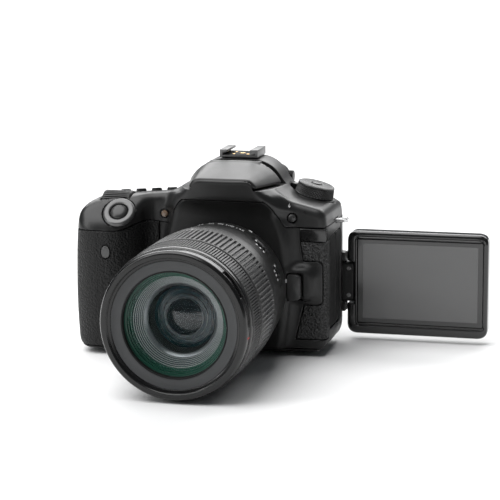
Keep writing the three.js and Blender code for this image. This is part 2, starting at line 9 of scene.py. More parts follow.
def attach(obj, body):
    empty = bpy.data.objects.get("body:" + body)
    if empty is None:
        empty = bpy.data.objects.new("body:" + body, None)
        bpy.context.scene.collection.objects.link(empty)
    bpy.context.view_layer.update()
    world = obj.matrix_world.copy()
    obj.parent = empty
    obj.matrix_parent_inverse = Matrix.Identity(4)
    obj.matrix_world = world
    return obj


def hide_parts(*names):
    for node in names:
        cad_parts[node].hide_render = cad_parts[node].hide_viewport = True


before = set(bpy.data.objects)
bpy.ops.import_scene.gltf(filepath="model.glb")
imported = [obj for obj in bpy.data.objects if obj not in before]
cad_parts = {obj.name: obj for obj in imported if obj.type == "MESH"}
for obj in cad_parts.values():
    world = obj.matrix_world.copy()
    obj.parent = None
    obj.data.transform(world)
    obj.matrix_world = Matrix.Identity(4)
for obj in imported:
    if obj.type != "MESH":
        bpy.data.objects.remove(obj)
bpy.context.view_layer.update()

# Digital single-lens reflex camera. Everything below is in millimetres until a mesh is made.
MM = 0.001
AXIS = 36.4                      # lens axis above the base
WALL, SKIN, GAP = 3.2, 1.2, 0.3
BASE_TOP, COVER_SEAM, REAR_SEAM = 2.0, 68.0, 1.15
THIN = 0.07                      # half of the seam under the top cover
LENS_BOTTOM = -2.2
TAU = 2 * math.pi


# ---------------------------------------------------------------- materials

def new_material(name):
    mat = bpy.data.materials.new(name)
    mat.use_nodes = True
    return mat, mat.node_tree.nodes, mat.node_tree.links


def texture(nodes, links, kind, scale, stretch=(1, 1, 1)):
    """A texture in the object's own axes; the scale is in features per metre."""
    place = nodes.new("ShaderNodeTexCoord")
    mapping = nodes.new("ShaderNodeMapping")
    mapping.inputs["Scale"].default_value = stretch
    links.new(place.outputs["Object"], mapping.inputs["Vector"])
    if kind == "pebble":
        made = nodes.new("ShaderNodeTexVoronoi")
        made.feature = "SMOOTH_F1"
        made.inputs["Smoothness"].default_value = 0.6
        out = made.outputs["Distance"]
    else:
        made = nodes.new("ShaderNodeTexNoise")
        made.inputs["Detail"].default_value = 3.0
        out = made.outputs["Fac"]
    made.inputs["Scale"].default_value = scale
    links.new(mapping.outputs["Vector"], made.inputs["Vector"])
    return out


def finish(name, color, rough, metal=0.0, spec=0.3, coat=0.0, bumps=(), vary=0.06, tint=0.15):
    """An opaque finish. bumps are (kind, scale, strength, depth in mm[, stretch])."""
    mat, nodes, links = new_material(name)
    shader = nodes["Principled BSDF"]
    shader.inputs["Metallic"].default_value = metal
    shader.inputs["Specular IOR Level"].default_value = spec
    shader.inputs["Coat Weight"].default_value = coat
    shader.inputs["Coat Roughness"].default_value = 0.08
    cloud = texture(nodes, links, "noise", 45.0)
    spread = nodes.new("ShaderNodeMapRange")
    spread.inputs["From Min"].default_value = 0.3
    spread.inputs["From Max"].default_value = 0.7
    spread.inputs["To Min"].default_value = max(rough - vary, 0.02)
    spread.inputs["To Max"].default_value = min(rough + vary, 1.0)
    links.new(cloud, spread.inputs["Value"])
    links.new(spread.outputs["Result"], shader.inputs["Roughness"])
    ramp = nodes.new("ShaderNodeValToRGB")
    ramp.color_ramp.elements[0].position = 0.3
    ramp.color_ramp.elements[1].position = 0.7
    ramp.color_ramp.elements[0].color = (*[c * (1 - tint) for c in color], 1)
    ramp.color_ramp.elements[1].color = (*[c * (1 + tint) for c in color], 1)
    links.new(cloud, ramp.inputs["Fac"])
    links.new(ramp.outputs["Color"], shader.inputs["Base Color"])
    last = None
    for kind, scale, strength, depth, *stretch in bumps:
        bump = nodes.new("ShaderNodeBump")
        bump.invert = kind == "pebble"
        bump.inputs["Strength"].default_value = strength
        bump.inputs["Distance"].default_value = depth * MM
        links.new(texture(nodes, links, kind, scale, *stretch), bump.inputs["Height"])
        if last:
            links.new(last.outputs["Normal"], bump.inputs["Normal"])
        last = bump
    if last:
        links.new(last.outputs["Normal"], shader.inputs["Normal"])
    return mat


def coated_glass(name, tint, clear=(0.9, 0.95, 0.95), low=0.05, high=0.7, rough=0.02):
    """Glass seen through, with a coloured sheen that grows towards its edge."""
    mat, nodes, links = new_material(name)
    nodes.remove(nodes["Principled BSDF"])
    out = nodes["Material Output"]
    through = nodes.new("ShaderNodeBsdfTransparent")
    through.inputs["Color"].default_value = (*clear, 1)
    sheen = nodes.new("ShaderNodeBsdfGlossy")
    sheen.inputs["Color"].default_value = (*tint, 1)
    sheen.inputs["Roughness"].default_value = rough
    facing = nodes.new("ShaderNodeLayerWeight")
    facing.inputs["Blend"].default_value = 0.35
    amount = nodes.new("ShaderNodeMapRange")
    amount.inputs["To Min"].default_value = low
    amount.inputs["To Max"].default_value = high
    mix = nodes.new("ShaderNodeMixShader")
    links.new(facing.outputs["Facing"], amount.inputs["Value"])
    links.new(amount.outputs["Result"], mix.inputs["Fac"])
    links.new(through.outputs["BSDF"], mix.inputs[1])
    links.new(sheen.outputs["BSDF"], mix.inputs[2])
    links.new(mix.outputs["Shader"], out.inputs["Surface"])
    return mat


def grey(value, warm=0.0):
    return (value * (1 + warm), value, value * (1 - warm))


GRAIN = ("noise", 4200.0, 0.25, 0.05)
SHELL = finish("shell_plastic", grey(0.01), 0.4, spec=0.34, bumps=[GRAIN])
HUMP = finish("hump_plastic", grey(0.012), 0.36, spec=0.42, bumps=[("noise", 5200.0, 0.2, 0.04)])
GRIP = finish("grip_rubber", grey(0.009), 0.5, spec=0.3, bumps=[
    ("pebble", 1000.0, 1.0, 0.5), ("noise", 5200.0, 0.3, 0.05)])
LEATHER = finish("side_leather", grey(0.02), 0.42, spec=0.5, bumps=[
    ("noise", 700.0, 1.0, 1.6), ("pebble", 900.0, 1.0, 0.8)])
COVER = finish("cover_rubber", grey(0.013), 0.6, spec=0.25, bumps=[GRAIN])
BARREL = finish("lens_plastic", grey(0.018), 0.36, spec=0.34, bumps=[("noise", 6000.0, 0.15, 0.03)])
RING = finish("ring_rubber", grey(0.03), 0.42, spec=0.5, bumps=[GRAIN])
RIM = finish("rim_plastic", grey(0.006), 0.22, spec=0.45, bumps=[("noise", 6000.0, 0.08, 0.02)])
NAME = finish("name_ring_grey", grey(0.055, -0.03), 0.42, spec=0.35, bumps=[GRAIN])
GLOSS = finish("gloss_black", grey(0.01), 0.16, spec=0.5, coat=0.3, vary=0.03)
BUTTON = finish("button_black", grey(0.03), 0.3, spec=0.45, vary=0.04, bumps=[("noise", 5200.0, 0.1, 0.03)])
BEZEL = finish("bezel_grey", grey(0.1), 0.3, metal=0.5, spec=0.6, vary=0.04)
STEEL = finish("bright_steel", grey(0.62), 0.22, metal=1.0, vary=0.06, bumps=[
    ("noise", 900.0, 0.12, 0.02, (1, 14, 1))])
SHOE = finish("shoe_steel", grey(0.2), 0.45, metal=1.0, vary=0.06)
DARK_STEEL = finish("dark_steel", grey(0.22), 0.3, metal=1.0, vary=0.06)
GOLD = finish("gold_contact", (0.72, 0.5, 0.22), 0.25, metal=1.0)
WHITE = finish("white_print", grey(0.62), 0.5, tint=0.04)
SOFT_WHITE = finish("grey_print", grey(0.32), 0.5, tint=0.04)
RED = finish("red_print", (0.5, 0.015, 0.012), 0.4)
LAMP = finish("lamp_window", (0.16, 0.11, 0.075), 0.18, spec=0.5, coat=0.4, vary=0.03)
REMOTE = finish("remote_window", grey(0.06), 0.3, spec=0.5, coat=0.2)
DIFFUSER = finish("flash_window", grey(0.55), 0.3, spec=0.5, bumps=[("noise", 500.0, 0.5, 0.3, (14, 1, 1))])
BOARD = finish("circuit_board", (0.02, 0.11, 0.045), 0.45, bumps=[("pebble", 400.0, 0.5, 0.3)])
SENSOR = finish("image_sensor", (0.05, 0.045, 0.1), 0.12, metal=0.6, spec=0.6)
CELL = finish("battery_case", grey(0.05), 0.4, bumps=[GRAIN])
INSIDE = finish("inside_black", grey(0.008), 0.7, bumps=[GRAIN])
MIRROR = finish("mirror_glass", grey(0.75), 0.04, metal=1.0, vary=0.02)
PRISM = finish("prism_glass", (0.25, 0.32, 0.32), 0.06, spec=0.6, coat=0.6, vary=0.02)


# ---------------------------------------------------------------- placing

def frame_at(origin, axis="x", degrees=0.0):
    """A 4x4 that turns about one axis through an origin."""
    c, s = math.cos(math.radians(degrees)), math.sin(math.radians(degrees))
    turn = np.eye(4)
    if axis == "x":
        turn[1:3, 1:3] = [[c, -s], [s, c]]
    else:
        turn[0, 0], turn[0, 2], turn[2, 0], turn[2, 2] = c, s, -s, c
    turn[:3, 3] = origin
    return turn


SHUTTER = frame_at((-56.5, -47.75, 74.87), "x", 45.7)
DECK = frame_at((-45, -26, 83.5), "x", -9) @ frame_at((0, 0, 0), "y", -4.2)
DIAL = frame_at((40.3, -3, 80.1), "y", 14)
# Local (x, y, h) of a lens ring is the camera's (X, Z above the axis, Y)
LENS = np.array([[1, 0, 0, 0], [0, 0, 1, 0], [0, 1, 0, AXIS], [0, 0, 0, 1]], float)
# Local (u, v, w) seen from the front and from the side
FRONT = np.array([[1, 0, 0, 0], [0, 0, 1, 0], [0, 1, 0, 0], [0, 0, 0, 1]], float)
SIDE = np.array([[0, 0, 1, 0], [1, 0, 0, 0], [0, 1, 0, 0], [0, 0, 0, 1]], float)
ABOVE = np.eye(4)


def across(x0, centre):
    """A frame whose h runs along X from x0, round a centre (y, z)."""
    made = SIDE.copy()
    made[:3, 3] = (x0, *centre)
    return made


def facing_front(centre):
    """A frame whose h is the camera's Y, round a centre (x, z)."""
    made = FRONT.copy()
    made[0, 3], made[2, 3] = centre
    return made


def local(turned, x, y, z):
    """Points in the camera's axes, given in a turned frame's own axes."""
    r, t = turned[:3, :3], turned[:3, 3]
    dx, dy, dz = x - t[0], y - t[1], z - t[2]
    return [r[0, i] * dx + r[1, i] * dy + r[2, i] * dz for i in range(3)]


def dress(obj, mat, body, replaced, slot):
    obj.data.materials.append(mat)
    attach(obj, body)
    if replaced:
        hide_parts(*([replaced] if isinstance(replaced, str) else replaced))
    return obj


def piece(name, verts, faces, mat, body, replaced=None, slot="shell_plastic", place=ABOVE,
          sharp=32.0, normals=None):
    verts = np.asarray(verts, float)
    verts = (verts @ place[:3, :3].T + place[:3, 3]) * MM
    mesh = bpy.data.meshes.new(name)
    mesh.from_pydata(verts.tolist(), [], faces)
    if normals is None:
        bm = bmesh.new()
        bm.from_mesh(mesh)
        bmesh.ops.remove_doubles(bm, verts=bm.verts, dist=1e-7)
        bmesh.ops.recalc_face_normals(bm, faces=bm.faces)
        bm.to_mesh(mesh)
        bm.free()
    mesh.shade_smooth()
    if normals is None:
        mesh.set_sharp_from_angle(angle=math.radians(sharp))
    else:
        mesh.normals_split_custom_set_from_vertices(normals.tolist())
    obj = bpy.data.objects.new(name, mesh)
    bpy.context.scene.collection.objects.link(obj)
    return dress(obj, mat, body, replaced, slot)


# ---------------------------------------------------------------- outlines, plates and rings

def rounded(corners, steps=6):
    """An outline's corners, [u, v] or [u, v, rounding], as a dense closed outline."""
    points = []
    for i, corner in enumerate(corners):
        here = np.array(corner[:2], float)
        before = np.array(corners[i - 1][:2], float) - here
        after = np.array(corners[(i + 1) % len(corners)][:2], float) - here
        b, a = np.linalg.norm(before), np.linalg.norm(after)
        reach = min(corner[2] if len(corner) > 2 else 0.0, 0.48 * b, 0.48 * a)
        if reach <= 0:
            points.append(here)
            continue
        start, end = here + before / b * reach, here + after / a * reach
        for t in np.linspace(0, 1, steps):
            points.append((1 - t) ** 2 * start + 2 * t * (1 - t) * here + t * t * end)
    return np.array(points)


def oblong(centre, half_u, half_v, rounding):
    u, v = centre
    return [[u - half_u, v - half_v, rounding], [u + half_u, v - half_v, rounding],
            [u + half_u, v + half_v, rounding], [u - half_u, v + half_v, rounding]]


def oval(centre, half_u, half_v, steps=40):
    return [[centre[0] + half_u * math.cos(TAU * i / steps),
             centre[1] + half_v * math.sin(TAU * i / steps)] for i in range(steps)]


def plate(name, corners, w0, w1, mat, body, replaced=None, slot="shell_plastic", place=ABOVE,
          bevel=0.3, segments=3, dense=6):
    """A flat plate of an outline, with both rims bevelled."""
    outline = rounded(corners, dense)
    n = len(outline)
    mesh = bmesh.new()
    rings = [[mesh.verts.new((u, v, w)) for u, v in outline] for w in (w0, w1)]
    caps = [mesh.faces.new(ring) for ring in rings]
    for i in range(n):
        j = (i + 1) % n
        mesh.faces.new([rings[0][i], rings[0][j], rings[1][j], rings[1][i]])
    if bevel:
        rim = [e for cap in caps for e in cap.edges]
        bmesh.ops.bevel(mesh, geom=rim, offset=bevel, segments=segments, profile=0.5,
                        affect="EDGES", clamp_overlap=True)
    mesh.verts.index_update()
    verts = [tuple(v.co) for v in mesh.verts]
    faces = [[v.index for v in f.verts] for f in mesh.faces]
    mesh.free()
    return piece(name, verts, faces, mat, body, replaced, slot, place)


def ring(name, profile, mat, body, replaced=None, slot="lens_plastic", place=LENS, steps=160,
         shape=None, closed=True, dense=5, sharp=32.0):
    """A turned piece. profile is (r, h[, rounding]); shape(r, h, angle) gives the carved radius."""
    line = rounded(profile, dense)
    if not closed:
        line = np.array([p[:2] for p in profile], float)
    angle = np.arange(steps) * TAU / steps
    r = np.repeat(line[:, 0][:, None], steps, 1)
    h = np.repeat(line[:, 1][:, None], steps, 1)
    if shape:
        r = shape(r, h, np.repeat(angle[None, :], len(line), 0))
    verts = np.stack([r * np.cos(angle), r * np.sin(angle), h], -1).reshape(-1, 3)
    rows = len(line) if closed else len(line) - 1
    faces = []
    for i in range(rows):
        k = (i + 1) % len(line)
        for j in range(steps):
            m = (j + 1) % steps
            faces.append((i * steps + j, i * steps + m, k * steps + m, k * steps + j))
    return piece(name, verts, faces, mat, body, replaced, slot, place, sharp)


def disc(name, profile, mat, body, replaced=None, slot="gloss_black", place=LENS, steps=64,
         shape=None, sharp=32.0):
    """A turned piece that closes on its own axis: profile starts and ends at radius 0."""
    return ring(name, profile, mat, body, replaced, slot, place, steps, shape, False, 5, sharp)


def ribs(count, depth, flat, h0, h1, soft=0.5):
    """A shape that cuts grooves along the axis between h0 and h1."""
    def carve(r, h, angle):
        phase = np.abs((angle * count / TAU) % 1 - 0.5) * 2
        groove = np.clip((phase - flat) / (1 - flat) * 2.2, 0, 1)
        along = np.clip((h - h0) / soft, 0, 1) * np.clip((h1 - h) / soft, 0, 1)
        return r - depth * groove * along
    return carve


def knurl(count, depth, h0, h1, pitch):
    """A shape that cuts a diamond pattern between h0 and h1."""
    def carve(r, h, angle):
        a = angle * count / TAU
        b = (h - h0) / pitch
        wave = np.maximum(np.abs(((a + b) % 1) * 2 - 1), np.abs(((a - b) % 1) * 2 - 1))
        along = (h > h0 - 1e-6) & (h < h1 + 1e-6)
        return r - depth * wave * along
    return carve


def stack(h0, h1, r, count):
    """Profile rows up a straight wall, so that a shape can carve it."""
    return [[r, h] for h in np.linspace(h0, h1, count)]


def glyphs(name, items, mat, body, slot="grey_print", thick=0.06):
    """Raised printed numbers: items are (text, size, 4x4 place)."""
    verts, faces = [], []
    for text, size, place in items:
        curve = bpy.data.curves.new("glyph", "FONT")
        curve.body = text
        curve.size = size
        curve.align_x = "CENTER"
        curve.align_y = "CENTER"
        curve.extrude = thick / 2
        curve.resolution_u = 3
        made = bpy.data.objects.new("glyph", curve)
        bpy.context.scene.collection.objects.link(made)
        depsgraph = bpy.context.evaluated_depsgraph_get()
        mesh = bpy.data.meshes.new_from_object(made.evaluated_get(depsgraph))
        co = np.array([v.co for v in mesh.vertices], float).reshape(-1, 3)
        start = len(verts)
        verts += (co @ place[:3, :3].T + place[:3, 3]).tolist()
        faces += [[start + i for i in p.vertices] for p in mesh.polygons]
        bpy.data.objects.remove(made)
    return piece(name, verts, faces, mat, body, None, slot)


# ---------------------------------------------------------------- solid fields

def smax(a, b, k):
    h = np.maximum(k - np.abs(a - b), 0) / k
    return np.maximum(a, b) + h * h * k / 4


def smin(a, b, k):
    return -smax(-a, -b, k)


def outline_field(corners):
    points = rounded(corners, 7)
    ends = np.roll(points, -1, 0)

    def field(u, v):
        u, v = np.broadcast_arrays(u, v)
        best = np.full(u.shape, 1e9)
        inside = np.zeros(u.shape, bool)
        for (ax, ay), (bx, by) in zip(points, ends):
            dx, dy = bx - ax, by - ay
            pu, pv = u - ax, v - ay
            t = np.clip((pu * dx + pv * dy) / (dx * dx + dy * dy), 0, 1)
            best = np.minimum(best, (pu - t * dx) ** 2 + (pv - t * dy) ** 2)
            if by != ay:
                inside ^= ((ay > v) != (by > v)) & (pu < pv * dx / dy)
        away = np.sqrt(best)
        return np.where(inside, -away, away)
    return field


def hull_field(points, k):
    """A convex form of its corners, its ridges rounded by k."""
    bm = bmesh.new()
    for p in points:
        bm.verts.new(p)
    bmesh.ops.convex_hull(bm, input=bm.verts)
    bm.normal_update()
    planes = []
    for face in sorted(bm.faces, key=lambda f: -f.calc_area()):
        normal = np.array(face.normal)
        if not any(normal @ n > 0.992 for n in planes):
            planes.append(normal)
    bm.free()
    corners = np.array(points, float)
    offsets = [float((corners @ n).max()) for n in planes]

    def field(x, y, z):
        total = None
        for n, c in zip(planes, offsets):
            d = n[0] * x + n[1] * y + n[2] * z - c
            total = d if total is None else smax(total, d, k)
        return total
    return field


def slab(v, lo, hi):
    return np.maximum(lo - v, v - hi)


def block(x, y, z, lo, hi):
    return np.maximum(np.maximum(slab(x, lo[0], hi[0]), slab(y, lo[1], hi[1])), slab(z, lo[2], hi[2]))


def rod(u, v, w, centre, radius, lo, hi):
    """A round bar along w."""
    return np.maximum(np.hypot(u - centre[0], v - centre[1]) - radius, slab(w, lo, hi))


def cut(whole, cutter, k=0.35):
    return smax(whole, -cutter, k)


def net(field, lo, hi, cell):
    """A quad mesh of a field's zero surface, with normals from the field itself."""
    axes = [np.arange(l, h + cell, cell) for l, h in zip(lo, hi)]
    grid = np.broadcast_to(
        field(axes[0][:, None, None], axes[1][None, :, None], axes[2][None, None, :]),
        [len(a) for a in axes])
    inside = grid < 0
    count = np.zeros([len(a) - 1 for a in axes], np.int8)
    offsets = [(i, j, k) for i in (0, 1) for j in (0, 1) for k in (0, 1)]
    spans = [slice(0, -1), slice(1, None)]
    for i, j, k in offsets:
        count += inside[spans[i], spans[j], spans[k]]
    active = (count > 0) & (count < 8)
    cells = np.argwhere(active)
    ids = np.full(active.shape, -1)
    ids[active] = np.arange(len(cells))
    total = np.zeros((len(cells), 3))
    crossings = np.zeros(len(cells))
    for a in offsets:
        for axis in range(3):
            if a[axis]:
                continue
            b = list(a)
            b[axis] = 1
            fa, fb = grid[tuple((cells + a).T)], grid[tuple((cells + b).T)]
            crossing = (fa < 0) != (fb < 0)
            t = np.where(crossing, fa / np.where(fa == fb, 1, fa - fb), 0)
            at = cells + np.array(a, float)
            at[:, axis] += t
            total += at * crossing[:, None]
            crossings += crossing
    points = total / crossings[:, None] * cell + np.array(lo, float)
    faces = []
    for d in range(3):
        e1, e2 = (d + 1) % 3, (d + 2) % 3
        first = [slice(None)] * 3
        second = [slice(None)] * 3
        first[d], second[d] = slice(0, -1), slice(1, None)
        here, there = inside[tuple(first)], inside[tuple(second)]
        at = np.argwhere(here != there)
        room = [n - 1 for n in inside.shape]
        at = at[(at[:, e1] > 0) & (at[:, e2] > 0) & (at[:, e1] < room[e1]) & (at[:, e2] < room[e2])]
        step1, step2 = np.eye(3, dtype=int)[e1], np.eye(3, dtype=int)[e2]
        quad = np.stack([ids[tuple(p.T)] for p in (at, at - step1, at - step1 - step2, at - step2)], 1)
        flip = ~here[tuple(at.T)]
        quad[flip] = quad[flip][:, ::-1]
        faces.append(quad)
    faces = np.concatenate(faces)
    nudge = 0.02
    for turn in range(3):
        x, y, z = points.T
        f = field(x, y, z)
        slope = np.stack([field(x + nudge, y, z), field(x, y + nudge, z), field(x, y, z + nudge)], 1)
        slope = (slope - f[:, None]) / nudge
        size = np.linalg.norm(slope, axis=1)
        size = np.maximum(size, 1e-6)
        if turn < 2:
            move = np.clip(f / size, -0.6 * cell, 0.6 * cell)
            points = points - slope / size[:, None] * move[:, None]
    return points, faces.tolist(), slope / size[:, None]


def moulded(name, field, lo, hi, mat, body, replaced, slot="shell_plastic", cell=0.8):
    verts, faces, normals = net(field, lo, hi, cell)
    return piece(name, verts, faces, mat, body, replaced, slot, normals=normals)


# ---------------------------------------------------------------- the body's outer form

PLAN = outline_field([
    [-33, -36.5, 3], [34, -36.5, 4], [54.8, -36, 5], [55.5, -20, 6], [55.5, 8.5, 2],
    [-30.6, 8.5], [-30.6, 15.5, 2], [-76, 15.5, 6], [-83.6, 9, 5], [-84.8, -8, 6],
    [-85.2, -28, 8], [-82.6, -47, 8], [-73, -54.5, 7], [-58, -54, 6], [-47.5, -47, 7],
    [-43, -38, 4]])
FRONT_VIEW = outline_field([
    [-81.5, 0, 7], [55.5, 0, 11], [55.5, 68, 6], [52.8, 77, 5], [28, 83.2, 3],
    [-30, 84.6, 3], [-60, 82.4, 10], [-78.8, 79.0, 14], [-82.6, 60, 12], [-85.2, 28, 12]])
LEATHER_OUTLINE = outline_field([
    [60, 60.4], [40.2, 60.4], [41.8, 50], [52.2, 50, 3], [52.2, 26.2, 3], [42.2, 26.2],
    [37.6, 7.6], [60, 7.6]])
NAME_PLATE = [[40.2, 60.8], [54, 60.8], [54, 67.4], [39.8, 67.4]]


def both_sides(points):
    return [p for x, y, z in points for p in ((x, y, z), (-x, y, z))]


mount_form = hull_field(
    [(x, -42, z) for x, z in [(-34.5, 1.5), (-34.5, 45), (-31, 62), (-25, 83), (24, 83), (31, 67),
                              (34.4, 45), (31.5, 8), (29, 1.5)]]
    + [(x, -35, z) for x, z in [(-38, 0.5), (-38, 46), (-35, 64), (-30, 84), (29, 84), (36, 69),
                                (39, 46), (35, 6), (33, 0.5)]], 2.4)
bump_form = hull_field([
    (33, -41.4, 30.5), (33, -41.4, 46), (44, -40.8, 46), (47.6, -40.2, 43), (47.6, -40.2, 33),
    (44, -40.8, 30.5), (32, -35, 27), (32, -35, 49), (47, -35, 49), (51, -35, 45),
    (51, -35, 31), (47, -35, 27)], 2.0)
hump_form = hull_field(both_sides([
    (20.6, -46.9, 82.6), (19.2, -47.4, 88.8), (15.8, -48.2, 93.4), (26.5, -14, 88),
    (23, -12, 93.5), (18.5, -12, 97.6), (12.2, -12, 100.2), (12.2, 9, 100.2), (18.5, 9, 97.2),
    (13, 14, 95), (22, 14, 88), (23.5, 14, 76), (24.5, 8, 91), (27.5, 8, 84), (31, -38, 78),
    (30, 10, 78)]), 2.0)
head_form = hull_field(both_sides([
    (15.7, -46.1, 93.9), (18.5, -45.6, 88.9), (25.2, -20, 88), (26.2, -16.5, 88),
    (23, -16.5, 93.5), (18.5, -16.5, 97.4), (12.2, -16.5, 100)]), 1.6)


def body_form(x, y, z):
    whole = smax(PLAN(x, y), FRONT_VIEW(x, z), 5.0)
    slope = (y + 58) * -0.7146 + (z - 64.4) * 0.6995
    whole = smax(whole, slope, 4.0)
    u, _, w = local(DECK, x, y, z)
    inner_side = (u - 14.5) * 0.8
    return smax(whole, w - np.maximum(inner_side, 0), 1.6)


def outer_form(x, y, z):
    whole = smin(body_form(x, y, z), mount_form(x, y, z), 3.0)
    whole = smin(whole, bump_form(x, y, z), 2.5)
    whole = smin(whole, hump_form(x, y, z), 7.0)
    ledge = smax(block(x, y, z, (-30.8, 8, 61), (53.5, 12.5, 76)), FRONT_VIEW(x, z) + 1.0, 3.0)
    return smin(whole, ledge, 1.0)


def shell_form(x, y, z):
    """The hollow body without its seams, and the solid form that skins are cut from."""
    form = body_form(x, y, z)
    return smax(outer_form(x, y, z), -(form + WALL), 0.4), form


def sunk(form, region, depth):
    """A shallow recess of the form inside a region."""
    return np.maximum(region, -(form + depth))


def ease(v, start, end):
    t = np.clip((v - start) / (end - start), 0, 1)
    return t * t * (3 - 2 * t)


def seam_height(x, y):
    """Where the top cover starts: low and wavy over the grip, arched over the lens mount."""
    grip = ease(y, -14, -24) * (ease(x, -44, -58) * -2.6 + 1.6 * np.exp(-((x + 43) / 7) ** 2))
    arch = ease(y, -37.5, -40) * ease(np.abs(x), 35, 21) * 14.6
    return COVER_SEAM + grip + arch


def grip_region(x, y, z, grow):
    sides = np.maximum(x + 37.4 - grow, y + 15 - grow)
    return np.maximum(sides, slab(z, BASE_TOP + GAP - grow, seam_height(x, y) - 0.25 + grow))


def leather_region(x, y, z, grow):
    return np.maximum(LEATHER_OUTLINE(x, z) - grow, slab(y, -45, -29 + grow))


COVERS = {"terminal_cover_front": (-26.4, -13.4), "terminal_cover_rear": (-12.9, -0.6)}


def cover_region(x, y, z, sides, grow):
    face = smax(slab(y, sides[0] - grow, sides[1] + grow), slab(z, 12 - grow, 62 + grow), 2.5)
    return np.maximum(face, slab(x, 50, 60))


def card_region(x, y, z, grow):
    face = smax(slab(y, -14.2 - grow, -0.6 + grow), slab(z, 16 - grow, 58 + grow), 2.5)
    return np.maximum(face, slab(x, -100, -75))


def lug_slots(x, y, z):
    right = block(x, y, z, (50.6 - GAP, -11 - GAP, 66.9 - GAP), (70, -5 + GAP, 68.9 + GAP))
    left = block(x, y, z, (-100, -11 - GAP, 66.9 - GAP), (-80.2 + GAP, -5 + GAP, 68.9 + GAP))
    return np.minimum(right, left)


def front_shell(x, y, z):
    whole, form = shell_form(x, y, z)
    whole = smax(whole, slab(z, BASE_TOP + GAP, seam_height(x, y) - THIN), 0.3)
    whole = smax(whole, y - (REAR_SEAM - GAP / 2), 0.5)
    for lo, hi in (((-76, -32, 0), (44, 6, 5)), ((-75, -47.5, 0), (-50.5, -7, 5)),
                   ((33.9, -46, 29.3), (42.1, -38, 44.1))):
        whole = cut(whole, block(x, y, z, lo, hi))
    whole = cut(whole, rod(x, z, y, (0, AXIS), 30, -50, -30))
    whole = cut(whole, sunk(form, leather_region(x, y, z, GAP), SKIN + GAP))
    whole = cut(whole, sunk(form, grip_region(x, y, z, GAP), SKIN + GAP))
    for sides in COVERS.values():
        whole = cut(whole, sunk(form, cover_region(x, y, z, sides, GAP), 1.6 + GAP))
    whole = cut(whole, sunk(form, card_region(x, y, z, GAP), 1.6 + GAP))
    window = np.maximum(np.hypot((x + 62.5) / 2.6, (z - 54) / 3.7) * 2.6 - 2.6, slab(y, -70, -51.4))
    whole = cut(whole, window)
    plate_hole = smax(slab(x - (60.8 - z) * 0.06, 40.2 - GAP, 54 + GAP), slab(z, 60.5, 67.7), 1.0)
    whole = cut(whole, np.maximum(plate_hole, slab(y, -45, -35.2)))
    return cut(whole, lug_slots(x, y, z))


def rear_shell(x, y, z):
    whole, _ = shell_form(x, y, z)
    whole = smax(whole, slab(z, BASE_TOP + GAP, COVER_SEAM - GAP / 2), 0.5)
    whole = smax(whole, REAR_SEAM + GAP / 2 - y, 0.5)
    whole = cut(whole, block(x, y, z, (-76, 0, 0), (44, 5, 5)))
    for centre, radius, floor in (((-57.5, 27), 15, 14.3), ((-40.5, 58), 3.6, 12.8), ((-41, 44), 2.8, 12.7)):
        whole = cut(whole, rod(x, z, y, centre, radius, floor, 30))
    for z0, z1, pin0, pin1 in ((13.5, 18.4, 18, 21.4), (41.7, 46.6, 38.7, 42)):
        lug = smax(rod(x, y, z, (52.4, 13.25), 3.4, z0, z1), slab(z, z0, z1), 0.5)
        web = block(x, y, z, (49, 8, z0), (55.5, 13.25, z1))
        pin = rod(x, y, z, (52.4, 13.25), 1.2, pin0, pin1)
        whole = np.minimum(whole, np.minimum(np.minimum(lug, web), pin))
    return whole


def top_cover(x, y, z):
    whole, _ = shell_form(x, y, z)
    whole = smax(whole, seam_height(x, y) + THIN - z, 0.3)
    whole = cut(whole, block(x, y, z, (-17.5, -41.5, 60), (17.5, 6.5, 85.4)))
    whole = cut(whole, block(x, y, z, (-10.5, 4, 72.5), (10.5, 20, 86.5)))
    seat = np.maximum(np.maximum(88.3 - (y + 46.6) * 0.0365 - z, slab(y, -46.6, -11)), slab(x, -35, 35))
    whole = cut(whole, seat)
    whole = cut(whole, rod(y, z, x, (-33.2, 76.6), 8.2, -69.6, -52.4))
    whole = cut(whole, rod(x, z, y, (-34.1, 73.1), 2.3, -50, -35.7))
    whole = cut(whole, rod(x, z, y, (35.7, 73), 2.5, -50, -33.7))
    whole = cut(whole, rod(x, z, y, (44, 72), 2.8, 9.8, 30))
    whole = cut(whole, rod(y, z, x, (10.2, 88), 4.4, 21.6, 40))
    u, v, w = local(SHUTTER, x, y, z)
    whole = cut(whole, rod(u, v, w, (0, 0), 9.2, -1.4, 6))
    whole = cut(whole, rod(u, v, w, (0, 0), 5.3, -4.2, 6))
    u, v, w = local(DECK, x, y, z)
    display = smax(slab(u, -26.8, 8.8), slab(v, 14.5, 35.1), 2.0)
    whole = cut(whole, np.maximum(display, slab(w, -1.5, 5)))
    for i in range(4):
        button = np.hypot((u + 15.4 - 8.8 * i) / 3.2, (v - 3.2) / 2.1) * 2.1 - 2.1
        whole = cut(whole, np.maximum(button, slab(w, -2.9, 5)))
    u, v, w = local(DIAL, x, y, z)
    whole = cut(whole, rod(u, v, w, (0, 0), 12.1, -1.5, 12))
    turn = np.degrees(np.arctan2(v, u)) % 360
    sector = np.maximum(np.abs(turn - 145) - 50, 0) * 0.2 + np.hypot(u, v) - 14.4
    whole = cut(whole, np.maximum(sector, slab(w, -1.5, 12)))
    whole = cut(whole, lug_slots(x, y, z))
    for x0, x1, pin0, pin1 in ((14.4, 17.2, 10.6, 15), (-17.2, -14.4, -15, -10.6)):
        cheek = np.minimum(block(x, y, z, (x0, -19.9, 84), (x1, -13.1, 95)),
                           rod(y, z, x, (-16.5, 95), 2.2, x0, x1))
        pin = rod(y, z, x, (-16.5, 95), 1.1, pin0, pin1)
        whole = np.minimum(whole, np.minimum(cheek, pin))
    return whole


